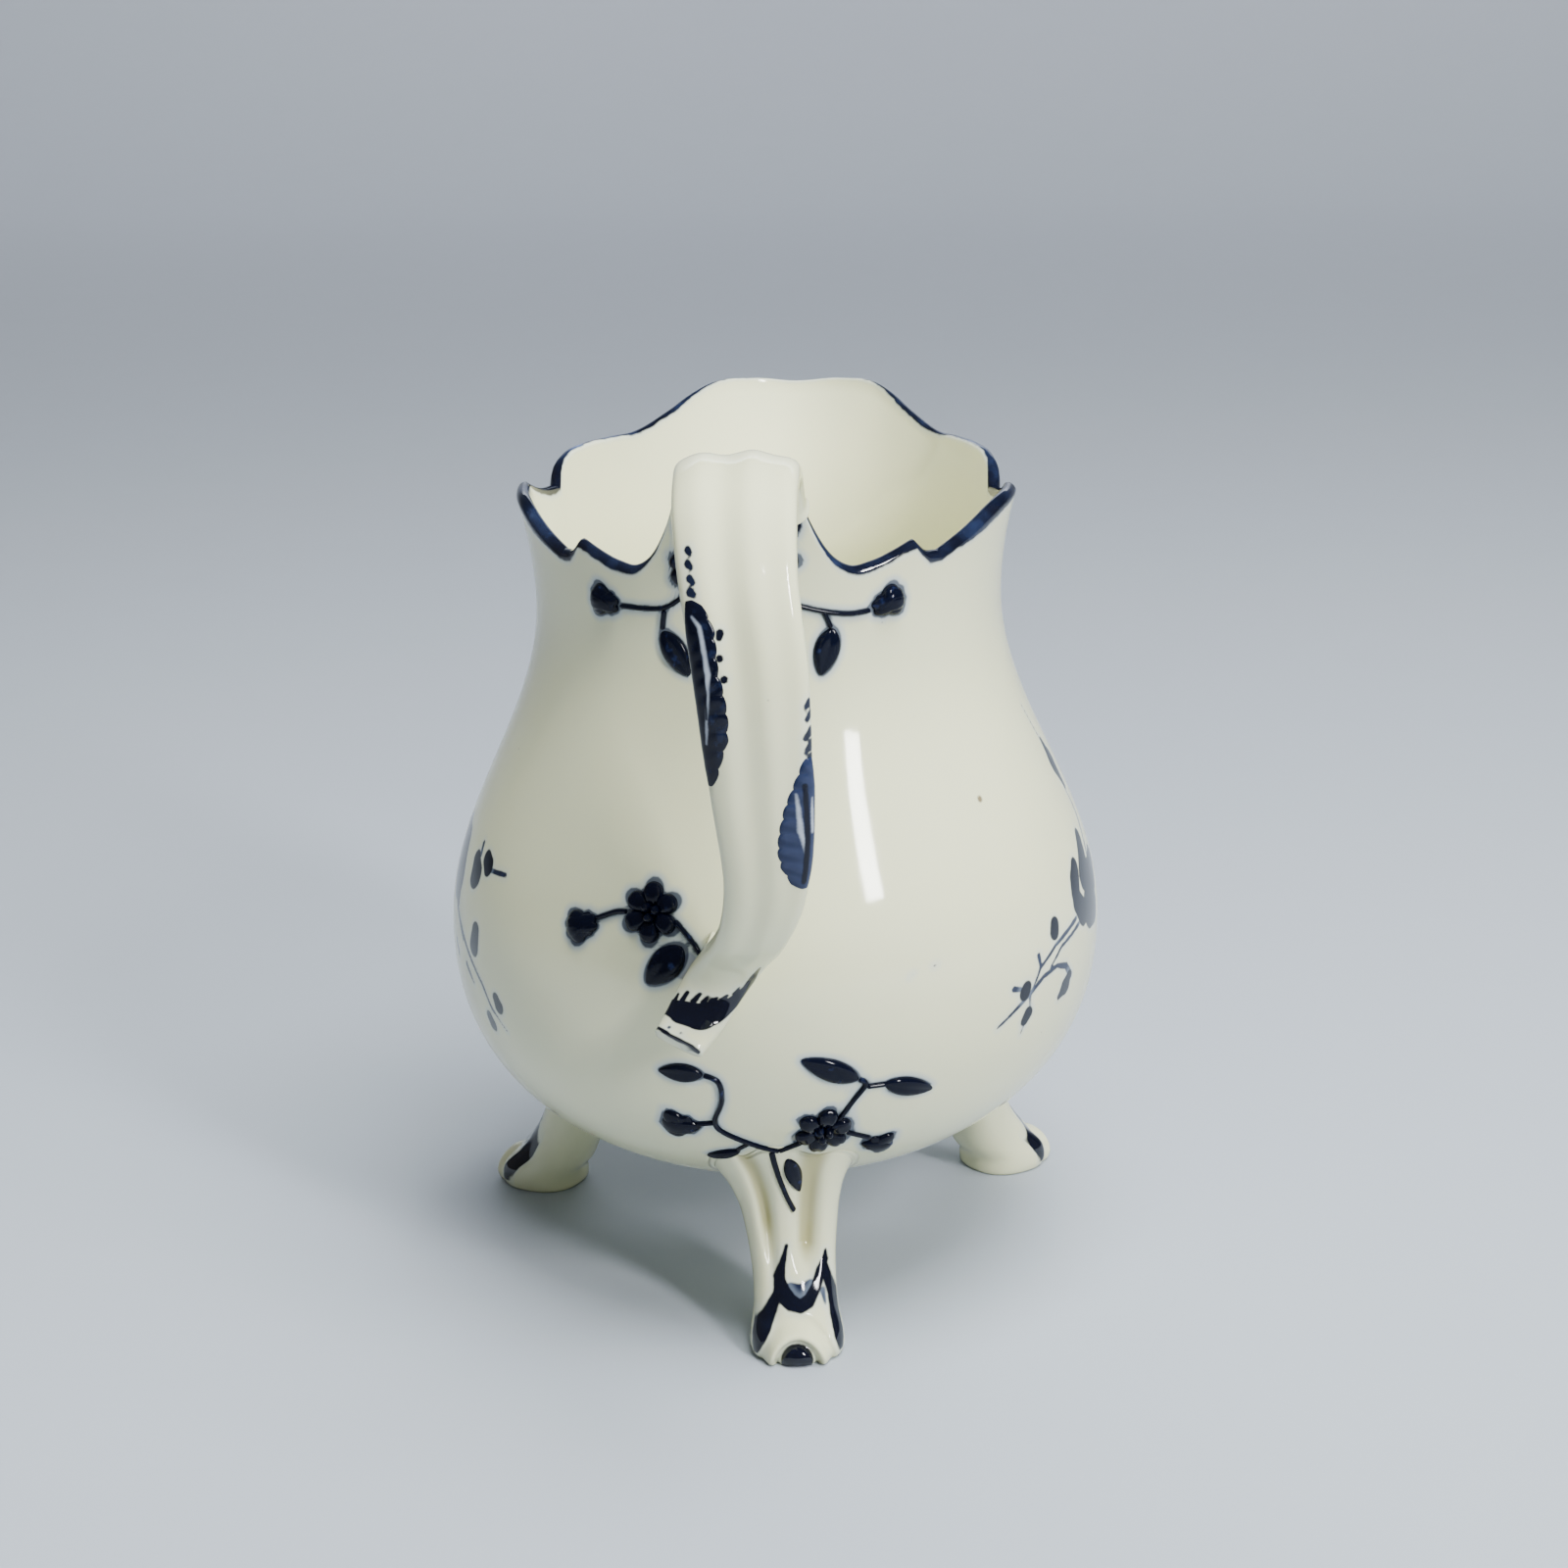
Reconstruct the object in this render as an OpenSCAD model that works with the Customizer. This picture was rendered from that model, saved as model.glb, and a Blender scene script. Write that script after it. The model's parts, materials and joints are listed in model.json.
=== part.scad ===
// Porcelain cream jug: a pear-shaped body on three splayed feet, with a strap handle
// and sprigs of small flowers. Every piece is clay that was made by itself and then
// luted (stuck with wet clay) to the body, so every piece here is a solid of its own.
// Millimetres. +Z is up, the table is z = 0, the handle is on -Y and the lip on +Y.

/* [Body] */
// Outside radius of the belly at its widest
belly_r = 44.5; // [37:0.5:54]
// Height of the widest level above the table
belly_z = 47.5; // [42:0.5:57]
// Outside radius of the neck at its narrowest
neck_r = 31.2; // [26:0.2:37.6]
// Height of the narrowest level of the neck
neck_z = 93; // [80:0.5:100]
// Outside radius of the mouth at the two side points of the rim
mouth_r = 33; // [28:0.2:39.6]
// Height of the two side points of the rim
mouth_z = 107.5; // [103:0.5:126]
// Height of the underside above the table, in the middle
bottom_z = 13.6; // [11.4:0.1:16.4]
// Wall of the belly and neck
wall = 2.6; // [2.1:0.1:3.2]
// Thickness of the wall at the rim
lip_wall = 1.8; // [1.5:0.1:2.2]

/* [Rim] */
// How far the pouring lip reaches out past a round mouth
lip_reach = 7.7; // [6.4:0.1:9.3]
// Rise of the pouring lip above the side points of the rim
lip_rise = 6.8; // [5.6:0.1:8.2]
// Drop of the rim on each side of the handle, below the side points
dip_drop = 5.5; // [4.5:0.1:6.6]
// Rise of the rim behind the handle, above the side points
peak_rise = 8.2; // [6.8:0.1:9.9]
// Turn of the mouth about the upright axis against the handle
mouth_turn = -2; // [-4:0.5:4]

/* [Handle] */
// Height of the crest of the handle
handle_z = 119; // [115.5:0.5:142]
// Reach of the handle from the axis of the body, to the middle of the strap
handle_reach = 61.5; // [56:0.5:74]
// Width of the strap at its crest
strap_w = 15.2; // [12.6:0.2:18.4]
// Thickness of the strap at its crest
strap_t = 4.8; // [4:0.1:5.8]
// Share of the strap's width that is left at the lower tip
tip_share = 0.44; // [0.36:0.01:0.54]

/* [Feet] */
// Radius of the circle that the middles of the soles stand on
foot_circle = 37.3; // [31:0.1:42]
// Width of a foot at its sole
foot_w = 12; // [10:0.2:14.4]
// Length of a foot at its sole, along a radius
foot_l = 14.4; // [12:0.2:17.2]
// Turn of the front foot away from the handle
foot_turn = 7; // [4:0.5:10]

/* [Sprigs] */
// Height of the leaves above the glaze of the body
leaf_h = 0.8; // [0.6:0.05:1]
// Height of the flowers
flower_h = 1.5; // [1.2:0.05:1.8]
// Radius of a rolled stem
stem_r = 0.32; // [0.26:0.01:0.4]
// Clearance left for the wet clay between any two pieces
lute = 0.08; // [0.06:0.01:0.12]

/* [Show] */
// Piece to draw

/* [Hidden] */
deg = 180 / PI;
cream = [0.93, 0.92, 0.86];
cobalt = [0.07, 0.1, 0.25];

// Powers that round the lower bowl: across, and up and down
bowl_across = 2.2;
bowl_up = 2.3;
// Height where the mouth starts to leave the round, as a share from belly to neck
flare_from = 0.8;
// Rise over which the mouth's own shape grows to its full amount
flare_rise = 27;

// Half of the rim as runs from one sharp corner to the next. Each point is the angle from
// the handle and the height as a share of the size that rules its stretch.
RIM = [
  [for (p = [[0, 1], [8, 0.96], [11, 0.83], [13.4, 0.5], [15.4, 0.16]]) [p.x, p.y * peak_rise],
   for (p = [[17.5, 0.18], [20.4, 0.62], [25.7, 1], [31, 0.96], [37, 0.78], [42.2, 0.58]])
     [p.x, -p.y * dip_drop]],
  [for (p = [[42.2, 0.58], [46, 0.87], [50.5, 0.95]]) [p.x, -p.y * dip_drop]],
  [for (p = [[50.5, 0.95], [60, 0.62], [72, 0.2], [86, 0]]) [p.x, -p.y * dip_drop]],
  [for (p = [[86, 0], [95, 0.3], [104, 0.38]]) [p.x, -p.y * dip_drop]],
  [[104, -0.38 * dip_drop],
   for (p = [[106.5, 0], [111, 0.21], [120, 0.32], [130, 0.31], [140, 0.31], [150, 0.59],
             [157, 0.85], [163, 1], [171, 0.97], [180, 0.87]]) [p.x, p.y * lip_rise]]
];
// Columns of the body's mesh in each run
RIM_STEPS = [14, 3, 7, 4, 14];
// How far the mouth stands out of the round at each angle from the handle
FLARE = [
  [0, 0], [25, 0.3], [48, 0.2], [70, 0.6], [86, 0.9], [104, -0.9], [120, -1.2],
  for (p = [[140, 0.12], [150, 0.26], [162, 0.57], [180, 1]]) [p.x, p.y * lip_reach]
];

// ---------------------------------------------------------------- curves
function clamp(v) = min(1, max(0, v));
function unit(v) = v / norm(v);
function flat(l) = [for (a = l) each a];
function fold(a) = abs(((a - mouth_turn + 540) % 360) - 180);
// Slope of a point list at point i, level at the handle and at the lip
function slope(P, i) =
  let (n = len(P) - 1)
  i == 0 ? (P[0].x == 0 ? 0 : (P[1].y - P[0].y) / (P[1].x - P[0].x)) :
  i == n ? (P[n].x == 180 ? 0 : (P[n].y - P[n - 1].y) / (P[n].x - P[n - 1].x)) :
  let (h0 = P[i].x - P[i - 1].x, h1 = P[i + 1].x - P[i].x,
       d0 = (P[i].y - P[i - 1].y) / h0, d1 = (P[i + 1].y - P[i].y) / h1)
  (d0 * h1 + d1 * h0) / (h0 + h1);
function interval(P, x, i = 0) = i >= len(P) - 2 || x < P[i + 1].x ? i : interval(P, x, i + 1);
// Smooth curve through a point list, read at x
function curve(P, x) =
  let (i = interval(P, x), h = P[i + 1].x - P[i].x, t = (x - P[i].x) / h)
  (2 * t ^ 3 - 3 * t ^ 2 + 1) * P[i].y + (t ^ 3 - 2 * t ^ 2 + t) * h * slope(P, i)
  + (3 * t ^ 2 - 2 * t ^ 3) * P[i + 1].y + (t ^ 3 - t ^ 2) * h * slope(P, i + 1);
// Smooth path through points in space, at a place counted in points
function path(P, t) =
  let (n = len(P) - 1, i = min(n - 1, max(0, floor(t))), f = t - i,
       a = P[max(0, i - 1)], b = P[i], c = P[i + 1], d = P[min(n, i + 2)])
  b + f / 2 * (c - a + f * (2 * a - 5 * b + 4 * c - d + f * (3 * (b - c) + d - a)));

// ---------------------------------------------------------------- body surface
// Height of the rim at an angle from the handle
function rim_run(a, k = 0) = k == len(RIM) - 1 || a < RIM[k + 1][0].x ? k : rim_run(a, k + 1);
function rim_z(a) = let (b = fold(a)) mouth_z + curve(RIM[rim_run(b)], b);
// Radius of the round body at a height
function round_r(z) =
  z < belly_z
    ? let (u = clamp((belly_z - z) / (belly_z - bottom_z)))
      belly_r * (1 - u ^ bowl_up) ^ (1 / bowl_across)
    : z < neck_z
      ? belly_r + (neck_r - belly_r) * (1 - cos(180 * (z - belly_z) / (neck_z - belly_z))) / 2
      : neck_r + (mouth_r - neck_r) * ((z - neck_z) / (mouth_z - neck_z)) ^ 2;
flare_z = belly_z + flare_from * (neck_z - belly_z);
function body_r(a, z) =
  round_r(z) + (z > flare_z ? curve(FLARE, fold(a)) * min(2, (z - flare_z) / flare_rise) ^ 2 : 0);
function skin(a, z) = let (r = body_r(a, z)) [r * sin(a), -r * cos(a), z];
function out(a, z) =
  unit(cross(skin(a + 1, z) - skin(a - 1, z), skin(a, z + 0.2) - skin(a, z - 0.2)));
// Point above the body's skin, at an angle, a height and a distance out
function above(a, z, h) = skin(a, z) + h * out(a, z);
// The same, moved across the skin by d = [sideways, upwards] in millimetres
function beside(c, d, h) =
  let (r = body_r(c.x, c.y), n = out(c.x, c.y))
  above(c.x + d.x / r * deg, c.y + d.y * norm([n.x, n.y]), h);
// Heights as levels: 0 underside, 1 belly, 2 neck, 3 side points of the rim
function level(v) = lookup(v, [[0, bottom_z], [1, belly_z], [2, neck_z], [3, mouth_z]]);
// Height of the underside over a point at radius r
function under_z(r) =
  belly_z - (belly_z - bottom_z) * (1 - clamp(r / belly_r) ^ bowl_across) ^ (1 / bowl_up);

// ---------------------------------------------------------------- meshes
// Faces of a closed stack of rings of n points, with the two ends left open
function ring_faces(n, rings, at = 0) = [
  for (k = [0 : rings - 2], i = [0 : n - 1])
    let (a = at + k * n + i, b = at + k * n + (i + 1) % n)
    each [[a, b + n, b], [a, a + n, b + n]]
];
// Rings closed by one point at the bottom and one at the top, anticlockwise from above
function capped(rings, low, high) =
  let (n = len(rings[0]), m = len(rings))
  [
    [each flat(rings), low, high],
    [
      each ring_faces(n, m),
      for (i = [0 : n - 1]) [m * n, i, (i + 1) % n],
      for (i = [0 : n - 1]) [m * n + 1, (m - 1) * n + (i + 1) % n, (m - 1) * n + i]
    ]
  ];
// A slab between two grids of the same size, the second one above the first
function slab(low, high) =
  let (v = len(low), u = len(low[0]), s = u * v,
       edge = [for (i = [0 : u - 2]) i, for (j = [0 : v - 2]) j * u + u - 1,
               for (i = [u - 1 : -1 : 1]) (v - 1) * u + i, for (j = [v - 1 : -1 : 1]) j * u])
  [
    [each flat(low), each flat(high)],
    [
      for (j = [0 : v - 2], i = [0 : u - 2])
        let (a = j * u + i)
        each [[a, a + 1, a + u + 1], [a, a + u + 1, a + u],
              [s + a, s + a + u + 1, s + a + 1], [s + a, s + a + u, s + a + u + 1]],
      for (k = [0 : len(edge) - 1])
        let (a = edge[k], b = edge[(k + 1) % len(edge)])
        each [[a, s + b, b], [a, s + a, s + b]]
    ]
  ];
// Draws one or more closed meshes as separate solids of one piece
module clay(meshes) {
  starts = [for (i = 0, s = 0; i < len(meshes); s = s + len(meshes[i][0]), i = i + 1) s];
  polyhedron(
    points = flat([for (m = meshes) m[0]]),
    faces = [for (i = [0 : len(meshes) - 1], f = meshes[i][1]) [for (v = f) v + starts[i]]]
  );
}

// ---------------------------------------------------------------- body
// Angles of the mesh's columns, with one on every corner of the rim
HALF = [
  for (k = [0 : len(RIM) - 1])
    let (a = RIM[k][0].x, b = RIM[k][len(RIM[k]) - 1].x)
    for (i = [0 : RIM_STEPS[k] - 1]) a + (b - a) * i / RIM_STEPS[k]
];
COLUMNS = [for (a = HALF) a + mouth_turn, 180 + mouth_turn,
           for (i = [len(HALF) - 1 : -1 : 1]) 360 - HALF[i] + mouth_turn];
// Shares of the belly's radius where the lower bowl gets a row, outside and inside
BOWL_ROWS = [0.25, 0.42, 0.56, 0.68, 0.78, 0.86, 0.92, 0.96, 0.988];
BOWL_ROWS_IN = [0.3, 0.55, 0.75, 0.88, 0.96];
// Rows up the side of the belly, and from there to the rim, outside and inside
side_rows = [11, 7];
mouth_rows = [9, 7];
lip_rows = 3;

function side_row_z(s) = belly_z + (flare_z - belly_z) * s;
function mouth_row_z(a, s) = flare_z + (rim_z(a) - lip_wall / 2 - flare_z) * s;
function wall_at(s) = wall + (lip_wall - wall) * s;
// Rows of the skin, or of the inside when depth is 1
function wall_rows(depth) =
  let (m = side_rows[depth], n = mouth_rows[depth])
  [
    for (q = depth == 0 ? BOWL_ROWS : BOWL_ROWS_IN)
      [for (a = COLUMNS) above(a, under_z(q * belly_r), -depth * wall)],
    for (j = [0 : m]) [for (a = COLUMNS) above(a, side_row_z(j / m), -depth * wall)],
    for (j = [1 : n])
      [for (a = COLUMNS) above(a, mouth_row_z(a, j / n), -depth * wall_at(j / n))]
  ];
// Row of the rounded lip, at an angle over its crest
function lip_row(w) = [
  for (a = COLUMNS)
    let (z = mouth_row_z(a, 1), n = out(a, z), r = lip_wall / 2)
    skin(a, z) - r * n + r * (cos(w) * n + sin(w) * [0, 0, 1])
];
module body() {
  inside = wall_rows(1);
  rows = [
    each wall_rows(0),
    for (k = [1 : lip_rows]) lip_row(180 * k / (lip_rows + 1)),
    for (j = [len(inside) - 1 : -1 : 0]) inside[j]
  ];
  color(cream) clay([capped(rows, [0, 0, bottom_z], [0, 0, bottom_z + wall])]);
}

// ---------------------------------------------------------------- strap handle
seat_z = mouth_z + 3;
crest = handle_z - strap_t / 2;
lower_z = belly_z + 6;
lower_y = belly_r + 3.4;
// Middle of the strap: sideways, out from the axis, and up
STRAP = [
  [-0.2, body_r(0, seat_z) + 0.6, seat_z],
  [-0.2, body_r(0, seat_z) + 4.6, crest - 1.6],
  [0, body_r(0, seat_z) + 11, crest],
  [0.4, handle_reach - 8, crest - 3],
  [1.2, handle_reach - 2.6, crest - 10.5],
  [2.7, handle_reach - 0.3, crest - 20.5],
  [3.5, handle_reach, lower_z + 29],
  [3.7, handle_reach - 1.6, lower_z + 17.5],
  [1.7, handle_reach - 5.6, lower_z + 9.5],
  [-1.4, lower_y + 2.2, lower_z + 4],
  [-3.9, lower_y, lower_z],
  [-6.1, lower_y + 1.2, lower_z - 3.6],
  [-8.2, lower_y + 4.2, lower_z - 6.2]
];
// Width and thickness of the strap along it, as shares of those at the crest
WIDE = [[0, 1.02], [1, 1.01], [2, 1], [3, 0.97], [4, 0.91], [5, 0.87], [6, 0.8], [7, 0.67],
        [8, 0.56], [9, 0.52], [10, 0.5], [11, 0.49], [12, tip_share]];
THICK = [[0, 1.35], [1, 1.12], [2, 1], [5, 0.92], [8, 0.84], [10, 0.8], [12, 0.55]];
strap_steps = 34;
strap_sides = 16;
// Power that squares the strap's section
strap_square = 2.8;
strap_end = len(STRAP) - 1;

function strap_mid(t) = let (p = path(STRAP, t)) [p.x, -p.y, p.z];
function strap_along(t) = unit(strap_mid(min(strap_end, t + 0.1)) - strap_mid(max(0, t - 0.1)));
function strap_across(t) = let (d = strap_along(t)) unit([1, 0, 0] - d.x * d);
function squared(c) = sign(c) * abs(c) ^ (2 / strap_square);
// Point on the strap at place t and section angle w (90 faces out), h above its skin
function on_strap(t, w, h = 0) =
  let (x = strap_across(t), n = cross(x, strap_along(t)),
       a = strap_w / 2 * lookup(t, WIDE) + h, b = strap_t / 2 * lookup(t, THICK) + h)
  strap_mid(t) + squared(cos(w)) * a * x - squared(sin(w)) * b * n;
// Any point moved straight out or in to lie on the body, one clearance away from it
function seated(p) = let (a = atan2(p.x, -p.y)) above(a, p.z, lute);
// A point of the strap, pushed out where it would reach into the wall or over the rim
function clear_of_rim(p) =
  let (a = atan2(p.x, -p.y), r = norm([p.x, p.y]), least = body_r(a, min(p.z, rim_z(a))) + lute * 4)
  r < least ? [p.x * least / r, p.y * least / r, p.z] : p;
module strap_handle() {
  turn = [for (i = [0 : strap_sides - 1]) 360 * (i + 0.5) / strap_sides];
  first = [for (w = turn) on_strap(0, w)];
  hub = strap_mid(0);
  rows = [
    for (s = [0.34, 0.67, 1]) [for (p = first) seated(hub + s * (p - hub))],
    for (k = [1 : strap_steps]) let (t = strap_end * k / strap_steps)
      [for (w = turn) clear_of_rim(on_strap(t, w))]
  ];
  color(cream) clay([capped(rows, seated(hub), strap_mid(strap_end))]);
}

// The pad of clay that joins the back of the strap to the belly
pad_from = 9.5;
pad_to = 10.9;
pad_steps = 5;
module handle_pad() {
  high = [
    for (j = [0 : pad_steps]) let (t = pad_from + (pad_to - pad_from) * j / pad_steps)
      [for (i = [0 : pad_steps]) on_strap(t, 300 - 60 * i / pad_steps, lute)]
  ];
  low = [for (row = high) [for (p = row) seated(p)]];
  color(cream) clay([slab(low, high)]);
}

// Feathered scroll pressed on one flank of the strap, from place t0 to t1. side is 1 or -1.
scroll_h = 0.55;
scroll_steps = 24;
// A grid with each row the other way round, so that its faces point outwards
function turned(grid) = [for (row = grid) [for (i = [len(row) - 1 : -1 : 0]) row[i]]];
module handle_scroll(side, t0, t1, plumes, reach) {
  grid = [
    for (h = [0, 1]) [
      for (k = [0 : scroll_steps])
        let (s = k / scroll_steps, t = t0 + (t1 - t0) * s, body = sin(180 * s) ^ 0.6,
             deep = (0.12 + body * (0.75 + 0.25 * abs(sin(180 * plumes * s)))) * reach)
        [for (i = [0 : 3])
           let (w = 90 - side * 80 + side * (i / 3) * deep,
                rise = h * scroll_h * (0.35 + 0.65 * body * sin(180 * (i + 0.4) / 3.8)))
           on_strap(t, w, lute * 1.5 + rise)]
    ]
  ];
  low = side > 0 ? grid[0] : turned(grid[0]);
  high = side > 0 ? grid[1] : turned(grid[1]);
  color(cobalt) clay([slab(low, high)]);
}

// ---------------------------------------------------------------- feet
// Foot from the sole (0) to the body (1): middle from the axis less the foot circle, then
// half length as a share of the foot's length, half width as a share of its width, and
// how far the foot leans to the left
FOOT = [
  [0, 1.9, 0.41, 0.5, 0], [0.05, 2.1, 0.425, 0.515, 0], [0.12, 1.8, 0.41, 0.505, 0],
  [0.22, -0.2, 0.36, 0.465, 0], [0.34, -2, 0.305, 0.455, 0], [0.48, -3.6, 0.275, 0.47, -0.1],
  [0.62, -4.9, 0.29, 0.505, -0.2], [0.76, -5.3, 0.3, 0.55, -0.4], [0.88, -5.4, 0.33, 0.62, -0.7],
  [1, -5.4, 0.38, 0.71, -1]
];
foot_rows = 14;
foot_sides = 28;
// Power that squares the foot's section
foot_square = 2.4;
// Depth of the two flutes down the front of a foot
flute = 1.1;
function foot_value(s, c) = curve([for (r = FOOT) [r[0], r[c]]], s);
function flute_at(y, s) =
  clamp((s - 0.3) / 0.2) * flute
  * (exp(-((y - 0.42) / 0.24) ^ 2) + 0.7 * exp(-((y + 0.45) / 0.13) ^ 2));
// A section of the foot around its middle: x is along the foot's radius, y across it
function foot_point(s, w, k = 1) =
  let (c = cos(w), d = sin(w), p = 2 / foot_square,
       y = sign(d) * abs(d) ^ p, x = sign(c) * abs(c) ^ p,
       in = c > 0 ? flute_at(y, s) : 0)
  [foot_circle + foot_value(s, 1) + k * (x * foot_value(s, 2) * foot_l - in),
   foot_value(s, 4) + k * y * foot_value(s, 3) * foot_w];
// Height of the foot's own side at a point of its section
function foot_z(s, w) =
  s * (under_z(norm(foot_point(1, w))) - lute * 1.5);
// Point on the front of the foot at height share s, y across it from -1 to 1, h above it
function on_foot(s, y, h) =
  let (w = asin(sign(y) * abs(y) ^ (foot_square / 2)), p = foot_point(s, w), z = foot_z(s, w))
  [p.x + h, p.y, z];
module foot(turn) {
  around = [for (i = [0 : foot_sides - 1]) 360 * (i + 0.5) / foot_sides];
  rows = [
    for (j = [0 : foot_rows])
      let (s = j / foot_rows)
      [for (w = around) let (p = foot_point(s, w)) [p.x, p.y, foot_z(s, w)]],
    for (k = [0.66, 0.33])
      [for (w = around) let (p = foot_point(1, w, k)) [p.x, p.y, under_z(norm(p)) - lute * 1.5]]
  ];
  mid = [foot_circle + foot_value(1, 1), foot_value(1, 4)];
  color(cream)
    rotate([0, 0, turn - 90])
      clay([capped(rows, [foot_circle, 0, 0], [mid.x, mid.y, under_z(norm(mid)) - lute * 1.5])]);
}

// ---------------------------------------------------------------- sprigs
// A rolled stem through places [angle, height] on the body, flat where it is stuck down
STEM_SECTION = [[-1, 0], [-0.8, 0.9], [-0.25, 1.4], [0.25, 1.4], [0.8, 0.9], [1, 0]];
function stem(P, steps, r = stem_r) =
  let (n = len(P) - 1,
       rows = [
         for (k = [0 : steps])
           let (t = n * k / steps, c = path(P, t),
                d = path(P, min(n, t + 0.1)) - path(P, max(0, t - 0.1)),
                v = unit([d.x / deg * body_r(c.x, c.y), d.y]))
           [for (q = STEM_SECTION) beside(c, q.x * r * [v.y, -v.x], lute + q.y * r)]
       ])
  capped(rows, (rows[0][0] + rows[0][5]) / 2 + stem_r * 0.3 * out(P[0].x, P[0].y),
         (rows[steps][0] + rows[steps][5]) / 2 + stem_r * 0.3 * out(P[n].x, P[n].y));
// A leaf from its stalk to its point, w wide, with a raised spine
leaf_steps = 8;
LEAF_ACROSS = [-1, -0.5, 0, 0.5, 1];
function leaf(p, q, w) =
  let (r = body_r(p.x, p.y), n = out(p.x, p.y), k = norm([n.x, n.y]),
       d = [(q.x - p.x) / deg * r, (q.y - p.y) / k], v = unit(d), len = norm(d),
       grid = [
         for (h = [0, 1]) [
           for (j = [0 : leaf_steps])
             let (s = j / leaf_steps, half = w / 2 * (0.12 + 0.88 * sin(180 * s ^ 0.85) ^ 0.8))
             [for (x = LEAF_ACROSS)
                let (rise = 0.25 + 0.75 * (1 - abs(x)) ^ 0.7 * (0.3 + 0.7 * sin(180 * s)))
                beside(p, s * len * v + x * half * [v.y, -v.x], lute + h * leaf_h * rise)]
         ]
       ])
  slab(grid[0], grid[1]);
// A flower or bud of a radius, with petals round a raised eye
PETAL_RINGS = [0.3, 0.62, 0.88, 1];
petal_sides = 30;
bud_sides = 20;
function flower(c, r, petals, turn, stretch, h, sides = petal_sides) =
  let (edge = function (w) 1 - 0.2 * abs(sin(petals / 2 * (w - turn))) ^ 3,
       spot = function (k, w, up)
         beside(c, k * r * edge(w) * [cos(w) * stretch, sin(w)], lute + up),
       around = [for (i = [0 : sides - 1]) 360 * i / sides],
       fall = function (k, w)
         h * (k < 0.5 ? 0.75 : (k > 0.99 ? 0.25 : 0.8 - 0.3 * abs(sin(petals / 2 * (w - turn))))),
       rows = [
         for (k = [0.5, 1]) [for (w = around) spot(k, w, 0)],
         for (j = [len(PETAL_RINGS) - 1 : -1 : 0])
           let (k = PETAL_RINGS[j]) [for (w = around) spot(k, w, fall(k, w))]
       ])
  capped(rows, above(c.x, c.y, lute), above(c.x, c.y, lute + h));

// Sprays round the feet: places are angles from the foot's own and levels up the body
function foot_place(turn, p) = [turn + p.x, level(p.y)];
FOOT_STEMS = [
  [[-3.4, 0.4], [-8, 0.44], [-14, 0.53], [-12.4, 0.65], [-12.6, 0.74], [-15, 0.77]],
  [[-14.8, 0.55], [-16, 0.54]],
  [[-2.2, 0.4], [0.6, 0.43]],
  [[9.2, 0.59], [10.2, 0.64], [12.2, 0.71], [11, 0.735]],
  [[13, 0.705], [15.9, 0.7]],
  [[10.9, 0.475], [13.8, 0.445]]
];
FOOT_LEAVES = [
  [[-15.6, 0.772], [-22.8, 0.775], 2.6], [[-10.4, 0.395], [-17.8, 0.35], 1.5],
  [[10.3, 0.742], [1.2, 0.835], 3.1], [[16.3, 0.697], [25, 0.64], 2.8]
];
module foot_spray_stems(turn) {
  color(cobalt)
    clay([for (s = FOOT_STEMS) stem([for (p = s) foot_place(turn, p)], 2 * len(s))]);
}
module foot_spray_leaves(turn) {
  color(cobalt)
    clay([for (l = FOOT_LEAVES) leaf(foot_place(turn, l[0]), foot_place(turn, l[1]), l[2])]);
}
// The small leaf and the tail of the stem that run down on the foot itself: places are
// height shares and places across the foot, then how wide the clay is there
FOOT_LEAF = [
  [0.95, 0.02, 0.5], [0.9, 0.06, 1.9], [0.84, 0.12, 2.2], [0.78, 0.2, 1.5], [0.74, 0.24, 0.4]
];
FOOT_TAIL = [
  [0.97, -0.2, 0.6], [0.9, -0.17, 0.6], [0.82, -0.11, 0.7], [0.72, 0, 0.7], [0.66, 0.1, 0.5]
];
function foot_strip(P, rise) =
  let (grid = [
    for (h = [0, 1]) [
      for (p = P)
        [for (x = [1, 0.4, -0.4, -1])
           on_foot(p.x, p.y + x * p.z / foot_w, lute + h * rise * (1 - 0.6 * x * x))]
    ]
  ])
  slab(grid[0], grid[1]);
module foot_spray_tail(turn) {
  color(cobalt)
    rotate([0, 0, turn - 90])
      clay([foot_strip(FOOT_LEAF, leaf_h), foot_strip(FOOT_TAIL, stem_r * 1.6)]);
}
module foot_spray_flower(turn) {
  color(cobalt) clay([flower(foot_place(turn, [5.4, 0.5]), 3.4, 6, 10, 1.12, flower_h)]);
}
module foot_spray_buds(turn) {
  color(cobalt)
    clay([flower(foot_place(turn, [-20.6, 0.525]), 2.4, 3, 60, 1.25, flower_h * 0.75, bud_sides),
          flower(foot_place(turn, [17.2, 0.39]), 2.2, 3, 0, 1.15, flower_h * 0.75, bud_sides)]);
}

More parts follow.
